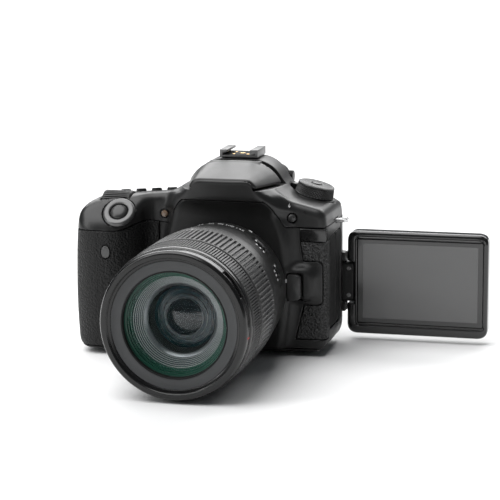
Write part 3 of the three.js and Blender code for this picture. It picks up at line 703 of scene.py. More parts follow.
def base_plate(x, y, z):
    whole = smax(outer_form(x, y, z), z - BASE_TOP, 0.3)
    whole = cut(whole, block(x, y, z, (-73.8, -46.3, -1), (-51, -9.7, 5)))
    return cut(whole, rod(x, y, z, (0, -15), 6.4, -1, 5))


def grip_rubber(x, y, z):
    form = body_form(x, y, z)
    skin = smax(smax(form, grip_region(x, y, z, 0), 0.5), -(form + SKIN), 0.3)
    window = np.hypot((x + 62.5) / 2.6, (z - 54) / 3.7) * 2.6 - 2.6
    return cut(skin, np.maximum(window, slab(y, -70, -50)))


def side_leather(x, y, z):
    form = body_form(x, y, z)
    return smax(smax(form, leather_region(x, y, z, 0), 0.5), -(form + SKIN), 0.3)


def cover_skin(sides):
    def field(x, y, z):
        form = body_form(x, y, z)
        skin = smax(smax(form, cover_region(x, y, z, sides, 0), 0.8), -(form + 1.6), 0.3)
        notch = rod(x, y, z, (56.6, sides[0] + 1.2), 2.2, 34, 40)
        return cut(skin, notch, 0.4)
    return field


def card_door(x, y, z):
    form = body_form(x, y, z)
    skin = smax(smax(form, card_region(x, y, z, 0), 0.8), -(form + 1.6), 0.3)
    finger = np.hypot(np.hypot((y + 4) / 1.0, (z - 37) / 3.0), (x + 86.6) * 1.6) - 2.6
    return cut(skin, finger, 0.8)


def flash_head(x, y, z):
    head = smin(head_form(x, y, z), rod(y, z, x, (-16.5, 95), 4.8, -14, 14), 0.8)
    for x0, x1 in ((14.1, 17.5), (-17.5, -14.1)):
        head = cut(head, block(x, y, z, (x0, -21.5, 80), (x1, -8, 95.2)))
        head = cut(head, rod(y, z, x, (-16.5, 95), 2.6, x0, x1))
    head = cut(head, block(x, y, z, (-30, -16.5, 80), (30, -8, 88)))
    head = cut(head, block(x, y, z, (-12.3, -50, 89.9), (12.3, -44.2, 93.1)))
    return cut(head, rod(y, z, x, (-16.5, 95), 1.5, -15, 15))


moulded("front_shell", front_shell, (-87, -57, 1), (57, 3, 84.5), SHELL, "body", "front_shell")
moulded("rear_shell", rear_shell, (-87, -1, 1), (58, 18, 70), SHELL, "body", "rear_shell")
moulded("top_cover", top_cover, (-87, -57, 63), (57, 18, 103), HUMP, "body", "top_cover", cell=0.7)
moulded("base_plate", base_plate, (-87, -57, -1), (58, 18, 3), SHELL, "body", "base_plate")
moulded("grip_rubber", grip_rubber, (-87, -57, 1), (-35, -12, 71), GRIP, "body", "grip_rubber",
        "grip_rubber", 0.7)
moulded("side_leather", side_leather, (38, -40, 5), (58, -26, 63), LEATHER, "body", "side_leather",
        "grip_rubber", 0.6)
for cover_name, cover_sides in COVERS.items():
    moulded(cover_name, cover_skin(cover_sides), (48, -30, 8), (58, 3, 65), COVER, cover_name,
            cover_name, "grip_rubber", 0.6)
moulded("card_door", card_door, (-88, -18, 12), (-78, 3, 62), SHELL, "card_door", "card_door",
        "shell_plastic", 0.6)
moulded("flash_head", flash_head, (-28, -48, 86), (28, -10, 102), HUMP, "flash", "flash_head", cell=0.5)


# ---------------------------------------------------------------- lens

BARREL_SWITCHES = ((45.0, -62.0), (19.0, -64.0))


def switch_wells(r, h, angle):
    """Raised switch fields with a sunk slot each, on the fixed barrel."""
    degrees = np.degrees(angle)
    for centre, y in BARREL_SWITCHES:
        along = np.abs(degrees - centre) * math.pi / 180 * 36.5
        field = np.clip((6.4 - along) / 0.8, 0, 1) * np.clip((4.6 - np.abs(h - y)) / 0.8, 0, 1)
        slot = np.clip((3.0 - along) / 0.15, 0, 1) * np.clip((1.8 - np.abs(h - y)) / 0.15, 0, 1)
        sunk_in = (np.abs(h - y) < 7) & (along < 9) & (r > 34)
        r = np.where(sunk_in, r - 0.5 * field - 1.2 * slot, r)
    return r


barrel_wall = [[35.2 + 3.0 * (-49 - h) / 31, h] for h in np.arange(-50, -80, -0.5)]
ring("lens_barrel", [[28.6, -44.3], [33, -44.3, 1], [35.2, -49, 2], *barrel_wall,
                     [38.2, -80, 3], [38.2, -87.9, 0.5], [33.6, -87.9], [33.6, -129.4],
                     [31.3, -129.4], [31.3, -50], [13.4, -50], [13.4, -47.6], [28.6, -47.6]],
     BARREL, "body", "lens_barrel", steps=480, shape=switch_wells)

zoom_wall = stack(-89.6, -113.6, 38.6, 22)
ring("zoom_ring", [[33.9, -88.2], [38.2, -88.2, 0.4], [38.6, -88.9, 0.4], *zoom_wall,
                   [38.6, -114.0, 0.3], [38.3, -114.6, 0.3], [33.9, -114.6]],
     RING, "zoom_ring", "zoom_ring", "ring_rubber", steps=960,
     shape=ribs(96, 1.0, 0.5, -113.0, -89.8))
focus_wall = stack(-115.9, -128.9, 38.2, 14)
ring("focus_ring", [[33.9, -115], [37.9, -115, 0.3], [38.2, -115.5, 0.3], *focus_wall,
                    [38.1, -129.2, 0.2], [37.7, -129.6, 0.2], [33.9, -129.6]],
     RING, "focus_ring", "focus_ring", "ring_rubber", steps=1360,
     shape=ribs(170, 0.9, 0.5, -128.8, -116.0))


def hood_bayonet(r, h, angle):
    """Three lugs of the hood bayonet stand out of the front rim."""
    degrees = np.degrees(angle)
    lugs = np.zeros_like(r)
    for start, end in ((48, 214), (228, 300), (318, 385)):
        inside = ((degrees - start) % 360) < (end - start)
        lugs = np.maximum(lugs, inside)
    zone = (h < -133.4) & (h > -138.4) & (r > 35)
    return np.where(zone & (lugs < 0.5), r - 0.75, r)


thread = [[33.6 + (0.3 if i % 2 else 0.0), -139.6 + 0.19 * i] for i in range(11)]
ring("front_barrel", [[36.2, -140, 0.6], [37.2, -138.5, 0.8], [37.2, -135.6], [37.2, -133.3, 0.3],
                      [37.7, -132.6, 0.4], [37.9, -131.4, 0.4], [37.9, -129.9, 0.2], [30.9, -129.9],
                      [30.9, -58], [28.9, -58], [28.9, -134.2], [33.6, -134.2], *thread[::-1],
                      [33.9, -140, 0.3]],
     RIM, "front_barrel", "front_barrel", steps=360, shape=hood_bayonet)
ring("rim_groove_ring", [[37.25, -133.9], [37.5, -133.7, 0.1], [37.5, -133.2, 0.1], [37.2, -133.0]],
     BARREL, "front_barrel", steps=200)
ring("name_ring", [[32.0, -137.5, 0.2], [32.0, -134.6], [27.6, -134.6], [26.9, -135.2],
                   [26.9, -136.9, 0.2], [29, -136.9], [31, -137.2]],
     NAME, "front_barrel", "name_ring", "grey_print", steps=200)
ring("name_ring_lip", [[26.8, -134.6], [26.8, -137.1, 0.1], [26.2, -137.1, 0.1], [26.1, -134.4]],
     INSIDE, "front_barrel", steps=200)
ring("name_ring_edge", [[33.55, -138.2, 0.2], [33.55, -134.6], [32.1, -134.6], [32.1, -137.6, 0.2]],
     RIM, "front_barrel", steps=200)

# Inside the lens: a cone painted green and stepped baffles painted teal (painted reflections of the glass
# coating), a retaining ring, deep glass painted teal (painted reflection) and coated glass
# Painted reflection: the cone's green base colour stands in for the green reflection in the glass coating
CONE_PAINTED_GREEN_REFLECTION = finish("cone_painted_green_reflection", (0.006, 0.05, 0.032), 0.34, spec=0.4, vary=0.04)
# Painted reflection: the baffles' teal base colour stands in for coating reflections
STEPS_PAINTED_TEAL_REFLECTION = finish("baffle_painted_teal_reflection", (0.014, 0.034, 0.034), 0.36, spec=0.4, vary=0.04)
LINE = finish("line_metal", (0.25, 0.27, 0.27), 0.32, metal=0.8, vary=0.03)
RETAINER = finish("retainer_metal", (0.26, 0.28, 0.29), 0.34, metal=0.8, vary=0.03)
# Painted reflection: the deep glass's teal base colour stands in for the coating's reflection
DEEP_GLASS_PAINTED_TEAL_REFLECTION = finish("deep_glass_painted_teal_reflection", (0.005, 0.03, 0.038), 0.2, spec=0.5, vary=0.03)
INNER_GLASS = finish("inner_coating", (0.007, 0.014, 0.017), 0.16, spec=0.6, vary=0.03)


def staircase(r0, h0, dr, dh, count):
    return [p for i in range(count) for p in ([r0 - dr * i, h0 + dh * i],
                                              [r0 - dr * i - 0.15, h0 + dh * i + 0.8 * dh])]


# The green cone's colour is a painted reflection, not a colour the baffle has
ring("green_cone", [*staircase(26.0, -134.2, 0.9, 1.15, 4), [22.3, -129.2], [22.3, -128.5],
                    [28.2, -128.5], [28.2, -134.2]],
     CONE_PAINTED_GREEN_REFLECTION, "front_barrel", slot="optical_glass", steps=160, sharp=12)
# The stepped baffles' teal colour is a painted reflection
ring("baffle_steps", [*staircase(22.3, -129.3, 0.7, 0.85, 5), [18.8, -125], [18.8, -123],
                      [23.0, -123], [23.0, -128.4], [22.3, -128.4]],
     STEPS_PAINTED_TEAL_REFLECTION, "front_barrel", slot="optical_glass", steps=160, sharp=12)
for i in range(6):
    radius, height = 22.7 - 0.7 * i, -129.8 + 0.85 * i
    ring(f"baffle_line_{i}", [[radius + 0.13, height], [radius - 0.13, height], [radius - 0.13, height + 0.5],
                              [radius + 0.13, height + 0.5]],
         LINE, "front_barrel", slot="bright_steel", steps=128)
ring("retaining_ring", [[18.8, -125.4, 0.3], [17.3, -123.9, 0.3], [16.9, -122.6], [18.8, -122.6]],
     RETAINER, "front_barrel", slot="bright_steel", steps=160)
ring("deep_tube", [[16.9, -123.2], [15.9, -117.2], [15.9, -116.2], [17.6, -116.2], [17.6, -122.4]],
     INSIDE, "front_barrel", slot="lens_plastic", steps=128)
# The deep glass is opaque, and its teal colour is a painted reflection
disc("deep_glass", [[0, -117.6], [6, -117.5], [11, -117.1], [16.4, -116.2], [16.4, -115.2], [0, -115.2]],
     DEEP_GLASS_PAINTED_TEAL_REFLECTION, "front_barrel", slot="optical_glass", steps=128)
for label, radius, height in (("outer", 14.0, -116.9), ("middle", 11.5, -117.3), ("inner", 9.4, -117.7)):
    ring(f"glass_edge_{label}", [[radius + 0.12, height - 0.1], [radius - 0.12, height - 0.2],
                                 [radius - 0.12, height + 0.6], [radius + 0.12, height + 0.6]],
         LINE, "front_barrel", slot="bright_steel", steps=128)
disc("inner_glass", [[0, -119.4], [2.5, -119.25], [5, -118.8], [7, -118.25], [9.2, -117.4], [9.2, -116.6],
                     [0, -116.6]], INNER_GLASS, "front_barrel", slot="optical_glass", steps=96)
disc("front_glass", [[0, -135.2], [6, -135.0], [12, -134.6], [18, -133.9], [26.0, -132.6],
                     [26.0, -132.4], [18, -133.7], [12, -134.4], [6, -134.8], [0, -135.0]],
     coated_glass("front_coating", (0.35, 0.5, 0.5), clear=(1, 1, 1), low=0.0, high=0.12, rough=0.05),
     "front_barrel", "front_element", "optical_glass", steps=128)

for switch_name, (turn, y) in zip(("focus_switch", "stabiliser_switch"), BARREL_SWITCHES):
    around = math.radians(turn)
    out, side = (math.cos(around), math.sin(around)), (-math.sin(around), math.cos(around))
    place = np.eye(4)
    place[:3, 0] = (side[0], 0, side[1])
    place[:3, 1] = (0, 1, 0)
    place[:3, 2] = (out[0], 0, out[1])
    place[:3, 3] = (0, 0, AXIS)
    plate(switch_name, oblong((-1.4, y), 1.3, 1.45, 0.5), 35.4, 37.3, BUTTON, switch_name,
          switch_name, "lens_plastic", place, bevel=0.25)
    for k in range(3):
        plate(f"{switch_name}_ridge_{k}", oblong((-2.1 + 0.7 * k, y), 0.14, 1.2, 0.1), 37.2, 37.45,
              BUTTON, switch_name, None, "lens_plastic", place, bevel=0.06, segments=1)


def on_lens(turn, y, radius):
    """Where a number stands on the barrel, its foot towards the front of the lens."""
    a = math.radians(turn)
    out = np.array([math.cos(a), 0, math.sin(a)])
    forward = np.array([0, 1.0, 0])
    side = np.cross(forward, out)
    place = np.eye(4)
    place[:3, 0], place[:3, 1], place[:3, 2] = side, np.cross(out, side), out
    place[:3, 3] = out * radius + np.array([0, y, AXIS])
    return place


scale_numbers = zip(("18", "24", "35", "50", "70", "100", "135"), (124, 113, 103, 94, 86, 78, 69))
glyphs("lens_scale", [(t, 3.4, on_lens(a, -59, 36.2)) for t, a in scale_numbers], WHITE, "body")


def mark(name, corners, w0, w1, mat, body, place, slot="grey_print"):
    return plate(name, corners, w0, w1, mat, body, None, slot, place, bevel=0)


mark("scale_index", oblong((0, 0), 0.18, 1.4, 0.05), -0.03, 0.05, WHITE, "body", on_lens(97, -86.6, 38.22))
for k, (turn, y) in enumerate(((52.0, -62.0), (41.0, -68.5), (45.0, -68.5), (49.0, -68.5), (26.5, -64.0),
                               (16.0, -70.5), (20.0, -70.5), (23.5, -70.5))):
    radius = 35.2 + 3.0 * (-49 - y) / 31
    mark(f"switch_mark_{k}", oblong((0, 0), 0.55, 0.9, 0.2), -0.05, 0.06, WHITE, "body",
         on_lens(turn, y, radius))
mark("lens_mark_red", oblong((0, 0), 0.45, 1.5, 0.1), -0.05, 0.08, RED, "front_barrel",
     on_lens(-7, -135.9, 37.2))
mark("mount_mark_white", oblong((0, 0), 1.0, 1.0, 0.3), -0.05, 0.08, WHITE, "body", on_lens(62, -50.5, 35.4))

# Lens seat, release button and marks on the front
plate("lens_release", [[34.4, 29.8, 1], [41.6, 29.8, 3.2], [41.6, 43.6, 3.2], [34.4, 43.6, 1]], -43, -39.2,
      BUTTON, "lens_release", "lens_release", "shell_plastic", FRONT, bevel=0.7)
mark("mount_index", oval((33.6, 40.2), 0.5, 1.1, 20), -42.35, -42.2, WHITE, "body", FRONT)
plate("name_plate", NAME_PLATE, -36.6, -35.5, GLOSS, "body", "name_plate", "gloss_black", FRONT, bevel=0.3)
plate("remote_window", oval((-62.5, 54), 2.3, 3.4), -54.3, -51.7, REMOTE, "body", "remote_window",
      "dark_window", FRONT, bevel=0.5)
disc("lamp_window", [[0, -38.4], [1.0, -38.3], [1.7, -38.0], [2.0, -37.4], [2.0, -36], [0, -36]],
     LAMP, "body", "lamp_window", "dark_window", facing_front((-34.1, 73.1)), 40)
ring("lamp_rim", [[2.3, -37.0, 0.15], [2.05, -37.9, 0.15], [2.05, -36.2], [2.3, -36.2]],
     DARK_STEEL, "body", slot="shell_plastic", place=facing_front((-34.1, 73.1)), steps=48)
disc("flash_button", [[0, -38.2], [1.3, -38.1], [2.0, -37.6], [2.2, -36.8], [2.2, -34.8], [0, -34.8]],
     BUTTON, "flash_button", "flash_button", "gloss_black", facing_front((35.7, 73)), 40)
bolt = [[0.5, 2.0], [-0.7, -0.2], [0.0, -0.2], [-0.4, -1.9], [0.9, 0.5], [0.15, 0.5]]
mark("flash_sign", [[34.0 + u, 79.0 + v] for u, v in bolt], -36.95, -36.5, WHITE, "body", FRONT)
disc("microphone_hole", [[0, -36.7], [0.7, -36.7], [0.7, -36.2], [0, -36.2]], INSIDE, "body",
     slot="gloss_black", place=facing_front((42.4, 76.4)), steps=20)

# ---------------------------------------------------------------- shutter, dials and top buttons

ring("shutter_bezel", [[5.1, 0.5, 0.3], [5.1, -1.1], [8.9, -1.1, 0.4], [8.8, 0.1, 0.5], [7.9, 0.95, 0.6],
                       [6.4, 1.0, 0.5], [5.5, 0.8, 0.3]],
     BEZEL, "body", "shutter_bezel", "button_grey", SHUTTER, 96)
disc("shutter_button", [[0, 1.6], [1.4, 1.57], [2.8, 1.38], [3.8, 1.02], [4.45, 0.5], [4.75, -0.2],
                        [4.8, -2.6], [0, -2.6]],
     BUTTON, "shutter_button", "shutter_button", "button_grey", SHUTTER, 64)
main_wall = [[7.6, h] for h in np.linspace(0.8, 15.2, 8)]
disc("main_dial", [[0, 0], [6.6, 0], [7.2, 0.25], *main_wall, [7.2, 15.75], [6.6, 16], [0, 16]],
     RING, "main_dial", "main_dial", "grip_rubber", across(-69, (-33.2, 76.6)), 432,
     shape=ribs(36, 0.75, 0.45, 0.9, 15.1, 0.4))
for i, button_name in enumerate(("af_button", "drive_button", "iso_button", "metering_button")):
    plate(button_name, oval((-15.4 + 8.8 * i, 3.2), 2.9, 1.8), -1.9, 1.3, BUTTON, button_name,
          button_name, "gloss_black", DECK, bevel=0.9, segments=5)
disc("button_dot", [[0, 1.36], [0.35, 1.36], [0.35, 1.2], [0, 1.2]], WHITE, "iso_button",
     slot="grey_print", place=DECK @ frame_at((2.2, 3.2, 0)),
     steps=16)
plate("top_display", oblong((-9, 24.8), 17.5, 10, 2), -1.2, 0.15, GLOSS, "body", "top_display",
      "gloss_black", DECK, bevel=0.35)
plate("top_display_panel", oblong((-9, 24.8), 15.0, 7.6, 0.8), 0.14, 0.19,
      finish("display_film", (0.16, 0.18, 0.13), 0.18, spec=0.5, coat=0.5), "body", None, "dark_window",
      DECK, bevel=0)

dial_wall = [[10.75 - 0.022 * i, 0.75 + 0.15 * i] for i in range(31)]
disc("mode_dial", [[0, 3.2], [3.1, 3.2], [3.1, 6.3], [3.3, 6.5], [9.3, 6.5], [9.9, 6.2], [10.1, 5.6],
                   *dial_wall[::-1], [10.6, 0.5], [10.2, 0.35], [0, 0.35]],
     RING, "mode_dial", "mode_dial", "shell_plastic", DIAL, 640, shape=knurl(40, 0.55, 0.7, 5.3, 1.5))
ring("mode_dial_ring", [[9.2, 6.45], [9.2, 6.58, 0.05], [8.95, 6.58, 0.05], [8.95, 6.45]], DARK_STEEL,
     "mode_dial", slot="button_grey", place=DIAL, steps=96)
disc("mode_dial_lock", [[0, 7.2], [1.6, 7.15], [2.4, 6.9], [2.7, 6.4], [2.7, 3.9], [0, 3.9]],
     BUTTON, "mode_dial_lock", "mode_dial_lock", "gloss_black", DIAL, 48)
dial_items = []
for k, text in enumerate(("1", "2", "3", "4", "5", "6", "7", "8", "9", "0")):
    a = TAU * k / 10
    place = np.eye(4)
    place[:3, 0] = (math.sin(a), -math.cos(a), 0)
    place[:3, 1] = (math.cos(a), math.sin(a), 0)
    place[:3, 3] = (6.4 * math.cos(a), 6.4 * math.sin(a), 6.52)
    dial_items.append((text, 2.9, DIAL @ place))
glyphs("mode_dial_numbers", dial_items, SOFT_WHITE, "mode_dial")


def lever_shape(r, h, angle):
    """The power lever's tab stands out of its ring at 165 degrees."""
    away = np.abs((np.degrees(angle) - 165 + 180) % 360 - 180)
    tab = np.clip((12.5 - away) / 2.5, 0, 1)
    return np.where(r > 11, r + 2.1 * tab, r)


ring("power_lever", [[4, -1.2], [11.6, -1.2, 0.3], [11.8, -0.6], [11.6, 0, 0.3], [4, 0]],
     SHELL, "power_lever", "power_lever", "shell_plastic", DIAL, 240, shape=lever_shape)
turned_tab = DIAL @ np.array([[math.cos(2.88), -math.sin(2.88), 0, 0], [math.sin(2.88), math.cos(2.88), 0, 0],
                              [0, 0, 1, 0], [0, 0, 0, 1]])
plate("power_lever_tab", oblong((12.5, 0), 1.4, 2.4, 0.6), -1.2, 3.0, SHELL, "power_lever", None,
      "shell_plastic", turned_tab, bevel=0.5)
mark("power_mark", oblong((12.5, 0), 0.25, 1.2, 0.1), 3.0, 3.06, WHITE, "power_lever", turned_tab)

# ---------------------------------------------------------------- flash, shoe and viewfinder

plate("flash_window", oblong((0, 91.5), 12, 1.3, 0.4), -45.6, -44.5, DIFFUSER, "flash", "flash_window",
      "dark_window", FRONT, bevel=0.2)
shoe = [[-10.67, 100.5], [10.67, 100.5], [10.67, 104.8], [6.3, 104.8], [6.3, 103.4], [9.4, 103.4],
        [9.4, 101.5], [-9.4, 101.5], [-9.4, 103.4], [-6.3, 103.4], [-6.3, 104.8], [-10.67, 104.8]]
plate("accessory_shoe", [[u, v, 0.35] for u, v in shoe], -10.5, 8, SHOE, "body", "accessory_shoe",
      "bright_steel", FRONT, bevel=0.25, dense=3)
plate("shoe_floor", oblong((0, -1), 9.2, 8.8, 0.3), 101.4, 101.75, INSIDE, "body", None, "gloss_black",
      bevel=0.05)
shoe_contacts = ((0, -1, 1.6), (-4, -5.2, 0.9), (4, -5.2, 0.9), (-4.6, 2.6, 0.9), (4.6, 2.6, 0.9))
for k, (x, y, r) in enumerate(shoe_contacts):
    disc(f"shoe_contact_{k}", [[0, 0.25], [r * 0.7, 0.22], [r, 0.1], [r, 0], [0, 0]], GOLD, "body",
         slot="bright_steel", place=frame_at((x, y, 101.72)), steps=32)


def soft_frame(name, outer, inner, y0, y1, mat, replaced):
    """A rounded rubber frame round a window, fuller towards the eye."""
    rim, hole = rounded(oblong((0, 80), *outer), 10), rounded(oblong((0, 80), *inner), 10)
    rows = []
    for t, depth in ((0, y0), (0.0, y1 - 1.8), (0.06, y1 - 0.7), (0.2, y1), (0.55, y1 - 0.2),
                     (0.86, y1 - 1.6), (1.0, y1 - 3.6), (1.0, y0)):
        rows.append([((1 - t) * a[0] + t * b[0], depth, (1 - t) * a[1] + t * b[1])
                     for a, b in zip(rim, hole)])
    n = len(rim)
    verts = [p for row in rows for p in row]
    faces = [(i * n + j, i * n + (j + 1) % n, ((i + 1) % len(rows)) * n + (j + 1) % n,
              ((i + 1) % len(rows)) * n + j) for i in range(len(rows)) for j in range(n)]
    return piece(name, verts, faces, mat, "body", replaced, "grip_rubber", sharp=50)


soft_frame("eyecup", (21.5, 13.5, 8), (11.5, 7.5, 3), 14.4, 22.8, GRIP, "eyecup")
plate("eyepiece_lens", oblong((0, 79.5), 9.8, 6.3, 1.5), 9, 12.5, PRISM, "body", "eyepiece_lens",
      "optical_glass", FRONT, bevel=0.4)
disc("diopter_knob", [[0, 0], [2.9, 0], *[[3.2, h] for h in (0.3, 1.2, 2.1, 3.0, 3.6)], [2.9, 4], [0, 4]],
     SHELL, "diopter_knob", "diopter_knob", "shell_plastic", across(22, (10.2, 88)), 216,
     shape=ribs(24, 0.3, 0.4, 0.2, 3.7, 0.3))

# ---------------------------------------------------------------- screen

X0, X1, Z0, Z1 = 56.4, 134.2, 1.2, 58.9
MID_Y, MID_Z = 12.75, 30.05


def screen_housing(x, y, z):
    """The panel's case: rounded corners, a recess for the display and a slot for the hinge."""
    edge = smax(slab(x, X0, X1), slab(z, Z0, Z1), 6.0)
    case = smax(edge, slab(y, 8, 17.5), 2.2)
    case = cut(case, block(x, y, z, (X0 - 1, 7, MID_Z - 12), (X0 + 3.9, 18.5, MID_Z + 12)), 0.5)
    face = smax(slab(x, 62, 131.6), slab(z, 7.4, 54.8), 0.8)
    case = cut(case, np.maximum(face, slab(y, 7, 9.8)), 0.3)
    case = cut(case, block(x, y, z, (67, 7, 9), (130, 15.5, 53)))
    lip = smax(slab(x, 60.6, 132.6), slab(z, 5.8, 56.2), 3.0)
    case = cut(case, np.maximum(np.maximum(lip, -(lip + 0.5)), slab(y, 7, 8.3)), 0.3)
    return cut(case, rod(y, z, x, (MID_Y, MID_Z), 2, X0, 65.5))


moulded("screen_housing", screen_housing, (55, 7, 0), (135.5, 18.5, 60), GLOSS, "screen",
        "screen_housing", "shell_plastic", 0.55)
plate("screen_glass", [[62.3, 7.7], [131.3, 7.7], [131.3, 54.5], [62.3, 54.5]], 8.5, 9.5,
      finish("screen_glass", grey(0.022), 0.13, spec=0.7, coat=0.4, vary=0.02, tint=0.05), "screen",
      "screen_glass", "gloss_black", FRONT, bevel=0.15)
plate("screen_bezel", [[62.6, 8.0], [131.0, 8.0], [131.0, 54.2], [62.6, 54.2]], 8.44, 8.52,
      finish("screen_border", grey(0.006), 0.1, spec=0.6, coat=0.4, vary=0.02), "screen", None,
      "gloss_black", FRONT, bevel=0)
plate("screen_display", [[65.4, 10.3], [128.6, 10.3], [128.6, 52.2], [65.4, 52.2]], 8.36, 8.46,
      finish("screen_display", grey(0.045), 0.2, spec=0.8, coat=0.6, vary=0.02, tint=0.05), "screen",
      None, "gloss_black", FRONT, bevel=0)


def screen_arm(x, y, z):
    arm = smax(smax(slab(y, 9.4, 17.1), slab(z, MID_Z - 11.25, MID_Z + 11.25), 2.0),
               slab(x, 52.4, X0 + 3.6), 0.6)
    arm = smin(arm, rod(x, y, z, (52.4, 13.25), 3.4, MID_Z - 11.25, MID_Z + 11.25), 0.5)
    arm = np.minimum(arm, rod(y, z, x, (MID_Y, MID_Z), 1.7, X0 + 3, X0 + 7.8))
    for pin0, pin1 in ((18, 21.4), (38.7, 42)):
        arm = cut(arm, rod(x, y, z, (52.4, 13.25), 1.5, pin0 - GAP, pin1 + GAP), 0.2)
    return arm


moulded("screen_arm", screen_arm, (48, 8.5, 17), (65.5, 18, 43), SHELL, "screen_arm", "screen_arm",
        "shell_plastic", 0.5)
for k, z in enumerate((MID_Z - 7.5, MID_Z + 7.5)):
    disc(f"hinge_screw_{k}", [[0, 9.32], [1.1, 9.32], [1.3, 9.45], [1.3, 9.6], [0, 9.6]], DARK_STEEL,
         "screen_arm", slot="bright_steel", place=facing_front((57.2, z)), steps=24)

# ---------------------------------------------------------------- rear controls

quick_wall = [[14.6, h] for h in np.linspace(17.0, 15.0, 5)]
ring("quick_dial", [[5.4, 14.6], [14.6, 14.6], *quick_wall[::-1], [14.1, 17.6, 0.3], [10.6, 17.5, 0.3],
                    [9.4, 16.7, 0.4], [6.6, 16.7, 0.4], [5.6, 17.3, 0.2]],
     RING, "quick_dial", "quick_dial", "shell_plastic", facing_front((-57.5, 27)), 360,
     shape=lambda r, h, a: np.where(r > 10.4, r - 0.25 * (np.abs((a * 60 / TAU) % 1 - 0.5) < 0.25)
                                    * (h > 14.9), r))
for button_name, radius, y0, y1, centre, mat, finish_slot in (
        ("set_button", 5.0, 14.9, 17.8, (-57.5, 27), BUTTON, "gloss_black"),
        ("play_button", 2.4, 13.4, 16.3, (-41, 44), BUTTON, "gloss_black"),
        ("menu_button", 2.4, 10.6, 13.4, (44, 72), BUTTON, "gloss_black")):
    disc(button_name, [[0, y1], [radius * 0.7, y1 - 0.05], [radius * 0.9, y1 - 0.25], [radius, y1 - 0.7],
                       [radius, y0], [0, y0]],
         mat, button_name, button_name, finish_slot, facing_front(centre), 48)
disc("joystick", [[0, 17.3], [1.2, 17.4], [1.7, 17.9], [2.2, 17.8], [2.4, 17.3], [1.9, 16.4], [1.7, 15],
                  [2.2, 13.1], [0, 13.1]],
     COVER, "joystick", "joystick", "grip_rubber", facing_front((-40.5, 58)), 40)
ring("joystick_collar", [[3.7, 15.5, 0.1], [3.7, 15.85, 0.2], [5.0, 15.6, 0.2], [5.2, 15.3]], SHELL, "body",
     place=facing_front((-40.5, 58)), steps=48)
for k, (u, v, turn) in enumerate(((0, 12.4, 0), (0, -12.4, 180), (12.4, 0, -90), (-12.4, 0, 90))):
    a = math.radians(turn)
    tip = [(0, 0.7), (-0.7, -0.4), (0.7, -0.4)]
    corners = [[-57.5 + u + p * math.cos(a) - q * math.sin(a), 27 + v + p * math.sin(a) + q * math.cos(a)]
               for p, q in tip]
    mark(f"dial_arrow_{k}", corners, 17.45, 17.62, SOFT_WHITE, "quick_dial", FRONT)
mark("play_sign", [[-44.6, 45.0], [-44.6, 43.0], [-45.9, 44.0]], 15.3, 15.56, SOFT_WHITE, "body", FRONT)

# ---------------------------------------------------------------- base, lugs and doors

plate("battery_door", oblong((-62.4, -28), 11.1, 18, 2.5), 0, 1.8, SHELL, "battery_door", "battery_door",
      "shell_plastic", bevel=0.4)
plate("battery_latch", oblong((-62.4, -40.5), 4.2, 2.2, 1.6), -0.0, 0.5, BUTTON, "battery_door", None,
      "gloss_black", bevel=0.2)
ring("tripod_socket", [[3.4, 0.1, 0.1], [6.1, 0.1, 0.3], [6.1, 7.4], [3.2, 7.4],
                       *[[3.2 + (0.35 if i % 2 else 0.0), 7.0 - 0.42 * i] for i in range(16)]],
     STEEL, "body", "tripod_socket", "bright_steel", frame_at((0, -15, 0)), 96)
for k, (x, y) in enumerate(((-44, 4), (40, 4), (48, -30), (-30, -33))):
    disc(f"base_screw_{k}", [[0, 0.15], [0.6, 0.15], [0.7, 0.02], [1.3, 0.02], [1.5, 0.2], [1.5, 0.6],
                             [0, 0.6]],
         DARK_STEEL, "body", slot="bright_steel", place=frame_at((x, y, -0.02)), steps=32)


def strap_lug(name, sign, root):
    """A flat steel tab with a slot for the strap, its outer corners rounded."""
    tab = [[root, -11], [root + 9.7, -11, 1.6], [root + 9.7, -5, 1.6], [root, -5]]
    slot_hole = oblong((root + 7.4, -8), 1.0, 1.7, 0.4)
    outer, inner = outline_field(tab), outline_field(slot_hole)

    def field(x, y, z):
        return cut(smax(outer(x * sign, y), slab(z, 66.9, 68.9), 0.5), inner(x * sign, y), 0.4)
    lo, hi = sorted((sign * (root - 0.6), sign * (root + 10.3)))
    moulded(name, field, (lo, -11.6, 66.3), (hi, -4.4, 69.5), STEEL, "body", name, "bright_steel", 0.3)


strap_lug("strap_lug_left", 1, 50.6)
strap_lug("strap_lug_right", -1, 80.2)

# Pieces whose frame shape is right keep it, with softened edges
for node, mat, node_slot in (
        ("mirror_box", INSIDE, "shell_plastic"), ("mirror", MIRROR, "mirror_glass"),
        ("shutter_unit", INSIDE, "shell_plastic"), ("image_sensor", SENSOR, "circuit_board"),
        ("main_board", BOARD, "circuit_board"), ("battery", CELL, "battery_case"),
        ("pentaprism", PRISM, "optical_glass"), ("rear_element", PRISM, "optical_glass"),
        ("lens_mount", STEEL, "bright_steel")):
    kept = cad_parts[node]
    kept.data.materials.clear()
    kept.data.materials.append(mat)
    soften = kept.modifiers.new("soften", "BEVEL")
    soften.width = 0.3 * MM
    soften.segments = 2
    soften.limit_method = "ANGLE"
    soften.angle_limit = math.radians(30)

# ---------------------------------------------------------------- floor, light and camera

floor_mesh = bpy.data.meshes.new("floor")
half = 12.0
level = (LENS_BOTTOM - 0.15) * MM
floor_mesh.from_pydata([(-half, -half, level), (half, -half, level), (half, half, level),
                        (-half, half, level)], [], [(0, 1, 2, 3)])
floor = bpy.data.objects.new("floor", floor_mesh)
bpy.context.scene.collection.objects.link(floor)
paper, nodes, links = new_material("white_paper")
nodes["Principled BSDF"].inputs["Base Color"].default_value = (0.9, 0.9, 0.9, 1)
nodes["Principled BSDF"].inputs["Roughness"].default_value = 0.9
nodes["Principled BSDF"].inputs["Specular IOR Level"].default_value = 0.0
floor_mesh.materials.append(paper)


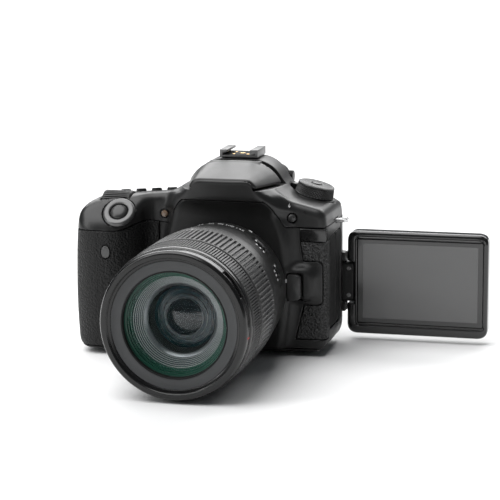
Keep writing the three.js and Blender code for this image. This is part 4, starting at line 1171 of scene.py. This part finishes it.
def aimed(obj, at, target):
    obj.location = at
    direction = np.array(target, float) - np.array(at, float)
    z = -direction / np.linalg.norm(direction)
    x = np.cross((0, 0, 1), z)
    x /= np.linalg.norm(x)
    y = np.cross(z, x)
    obj.matrix_world = Matrix([[x[i], y[i], z[i], at[i]] for i in range(3)] + [[0, 0, 0, 1]])
    bpy.context.scene.collection.objects.link(obj)


def area_light(name, at, target, size, power, color=(1, 1, 1)):
    light = bpy.data.lights.new(name, "AREA")
    light.shape = "RECTANGLE"
    light.size, light.size_y = size
    light.energy = power
    light.color = color
    aimed(bpy.data.objects.new(name, light), at, target)


sky = bpy.data.lights.new("overhead", "SUN")
sky.energy = 3.0
sky.angle = math.radians(60)
aimed(bpy.data.objects.new("overhead", sky), (-0.5, -0.25, 1.6), (0, 0, 0))
area_light("left_strip", (-1.1, -0.9, 0.75), (0, -0.08, 0.04), (0.25, 0.9), 6.0)
area_light("back_softbox", (-0.4, 5.0, 3.8), (0, 0, 0.06), (8.5, 4.2), 440.0)

world = bpy.data.worlds.new("studio")
bpy.context.scene.world = world
world.use_nodes = True
world.node_tree.nodes["Background"].inputs["Color"].default_value = (0.9, 0.95, 1.0, 1)
world.node_tree.nodes["Background"].inputs["Strength"].default_value = 0.1

lens_data = bpy.data.cameras.new("camera")
lens_data.lens = 130.2
lens_data.sensor_width = 36
lens_data.clip_start = 0.05
lens_data.clip_end = 60
camera = bpy.data.objects.new("camera", lens_data)
bpy.context.scene.collection.objects.link(camera)
VIEW_DEGREES = (14.33, 11.12, -0.42)      # azimuth, elevation, roll
VIEW_FROM = (0.2464, -0.9515, 0.2405)     # metres
azimuth, elevation, roll = (math.radians(v) for v in VIEW_DEGREES)
view = np.array([math.sin(azimuth) * math.cos(elevation), -math.cos(azimuth) * math.cos(elevation),
                 math.sin(elevation)])
right = np.array([math.cos(azimuth), math.sin(azimuth), 0])
up = np.cross(view, right)
right, up = (math.cos(roll) * right + math.sin(roll) * up,
             -math.sin(roll) * right + math.cos(roll) * up)
placed = np.eye(4)
placed[:3, 0], placed[:3, 1], placed[:3, 2] = right, up, view
placed[:3, 3] = VIEW_FROM
camera.matrix_world = [list(column) for column in placed.T]
bpy.context.scene.camera = camera
bpy.context.scene.view_settings.view_transform = "Standard"

bpy.context.view_layer.update()
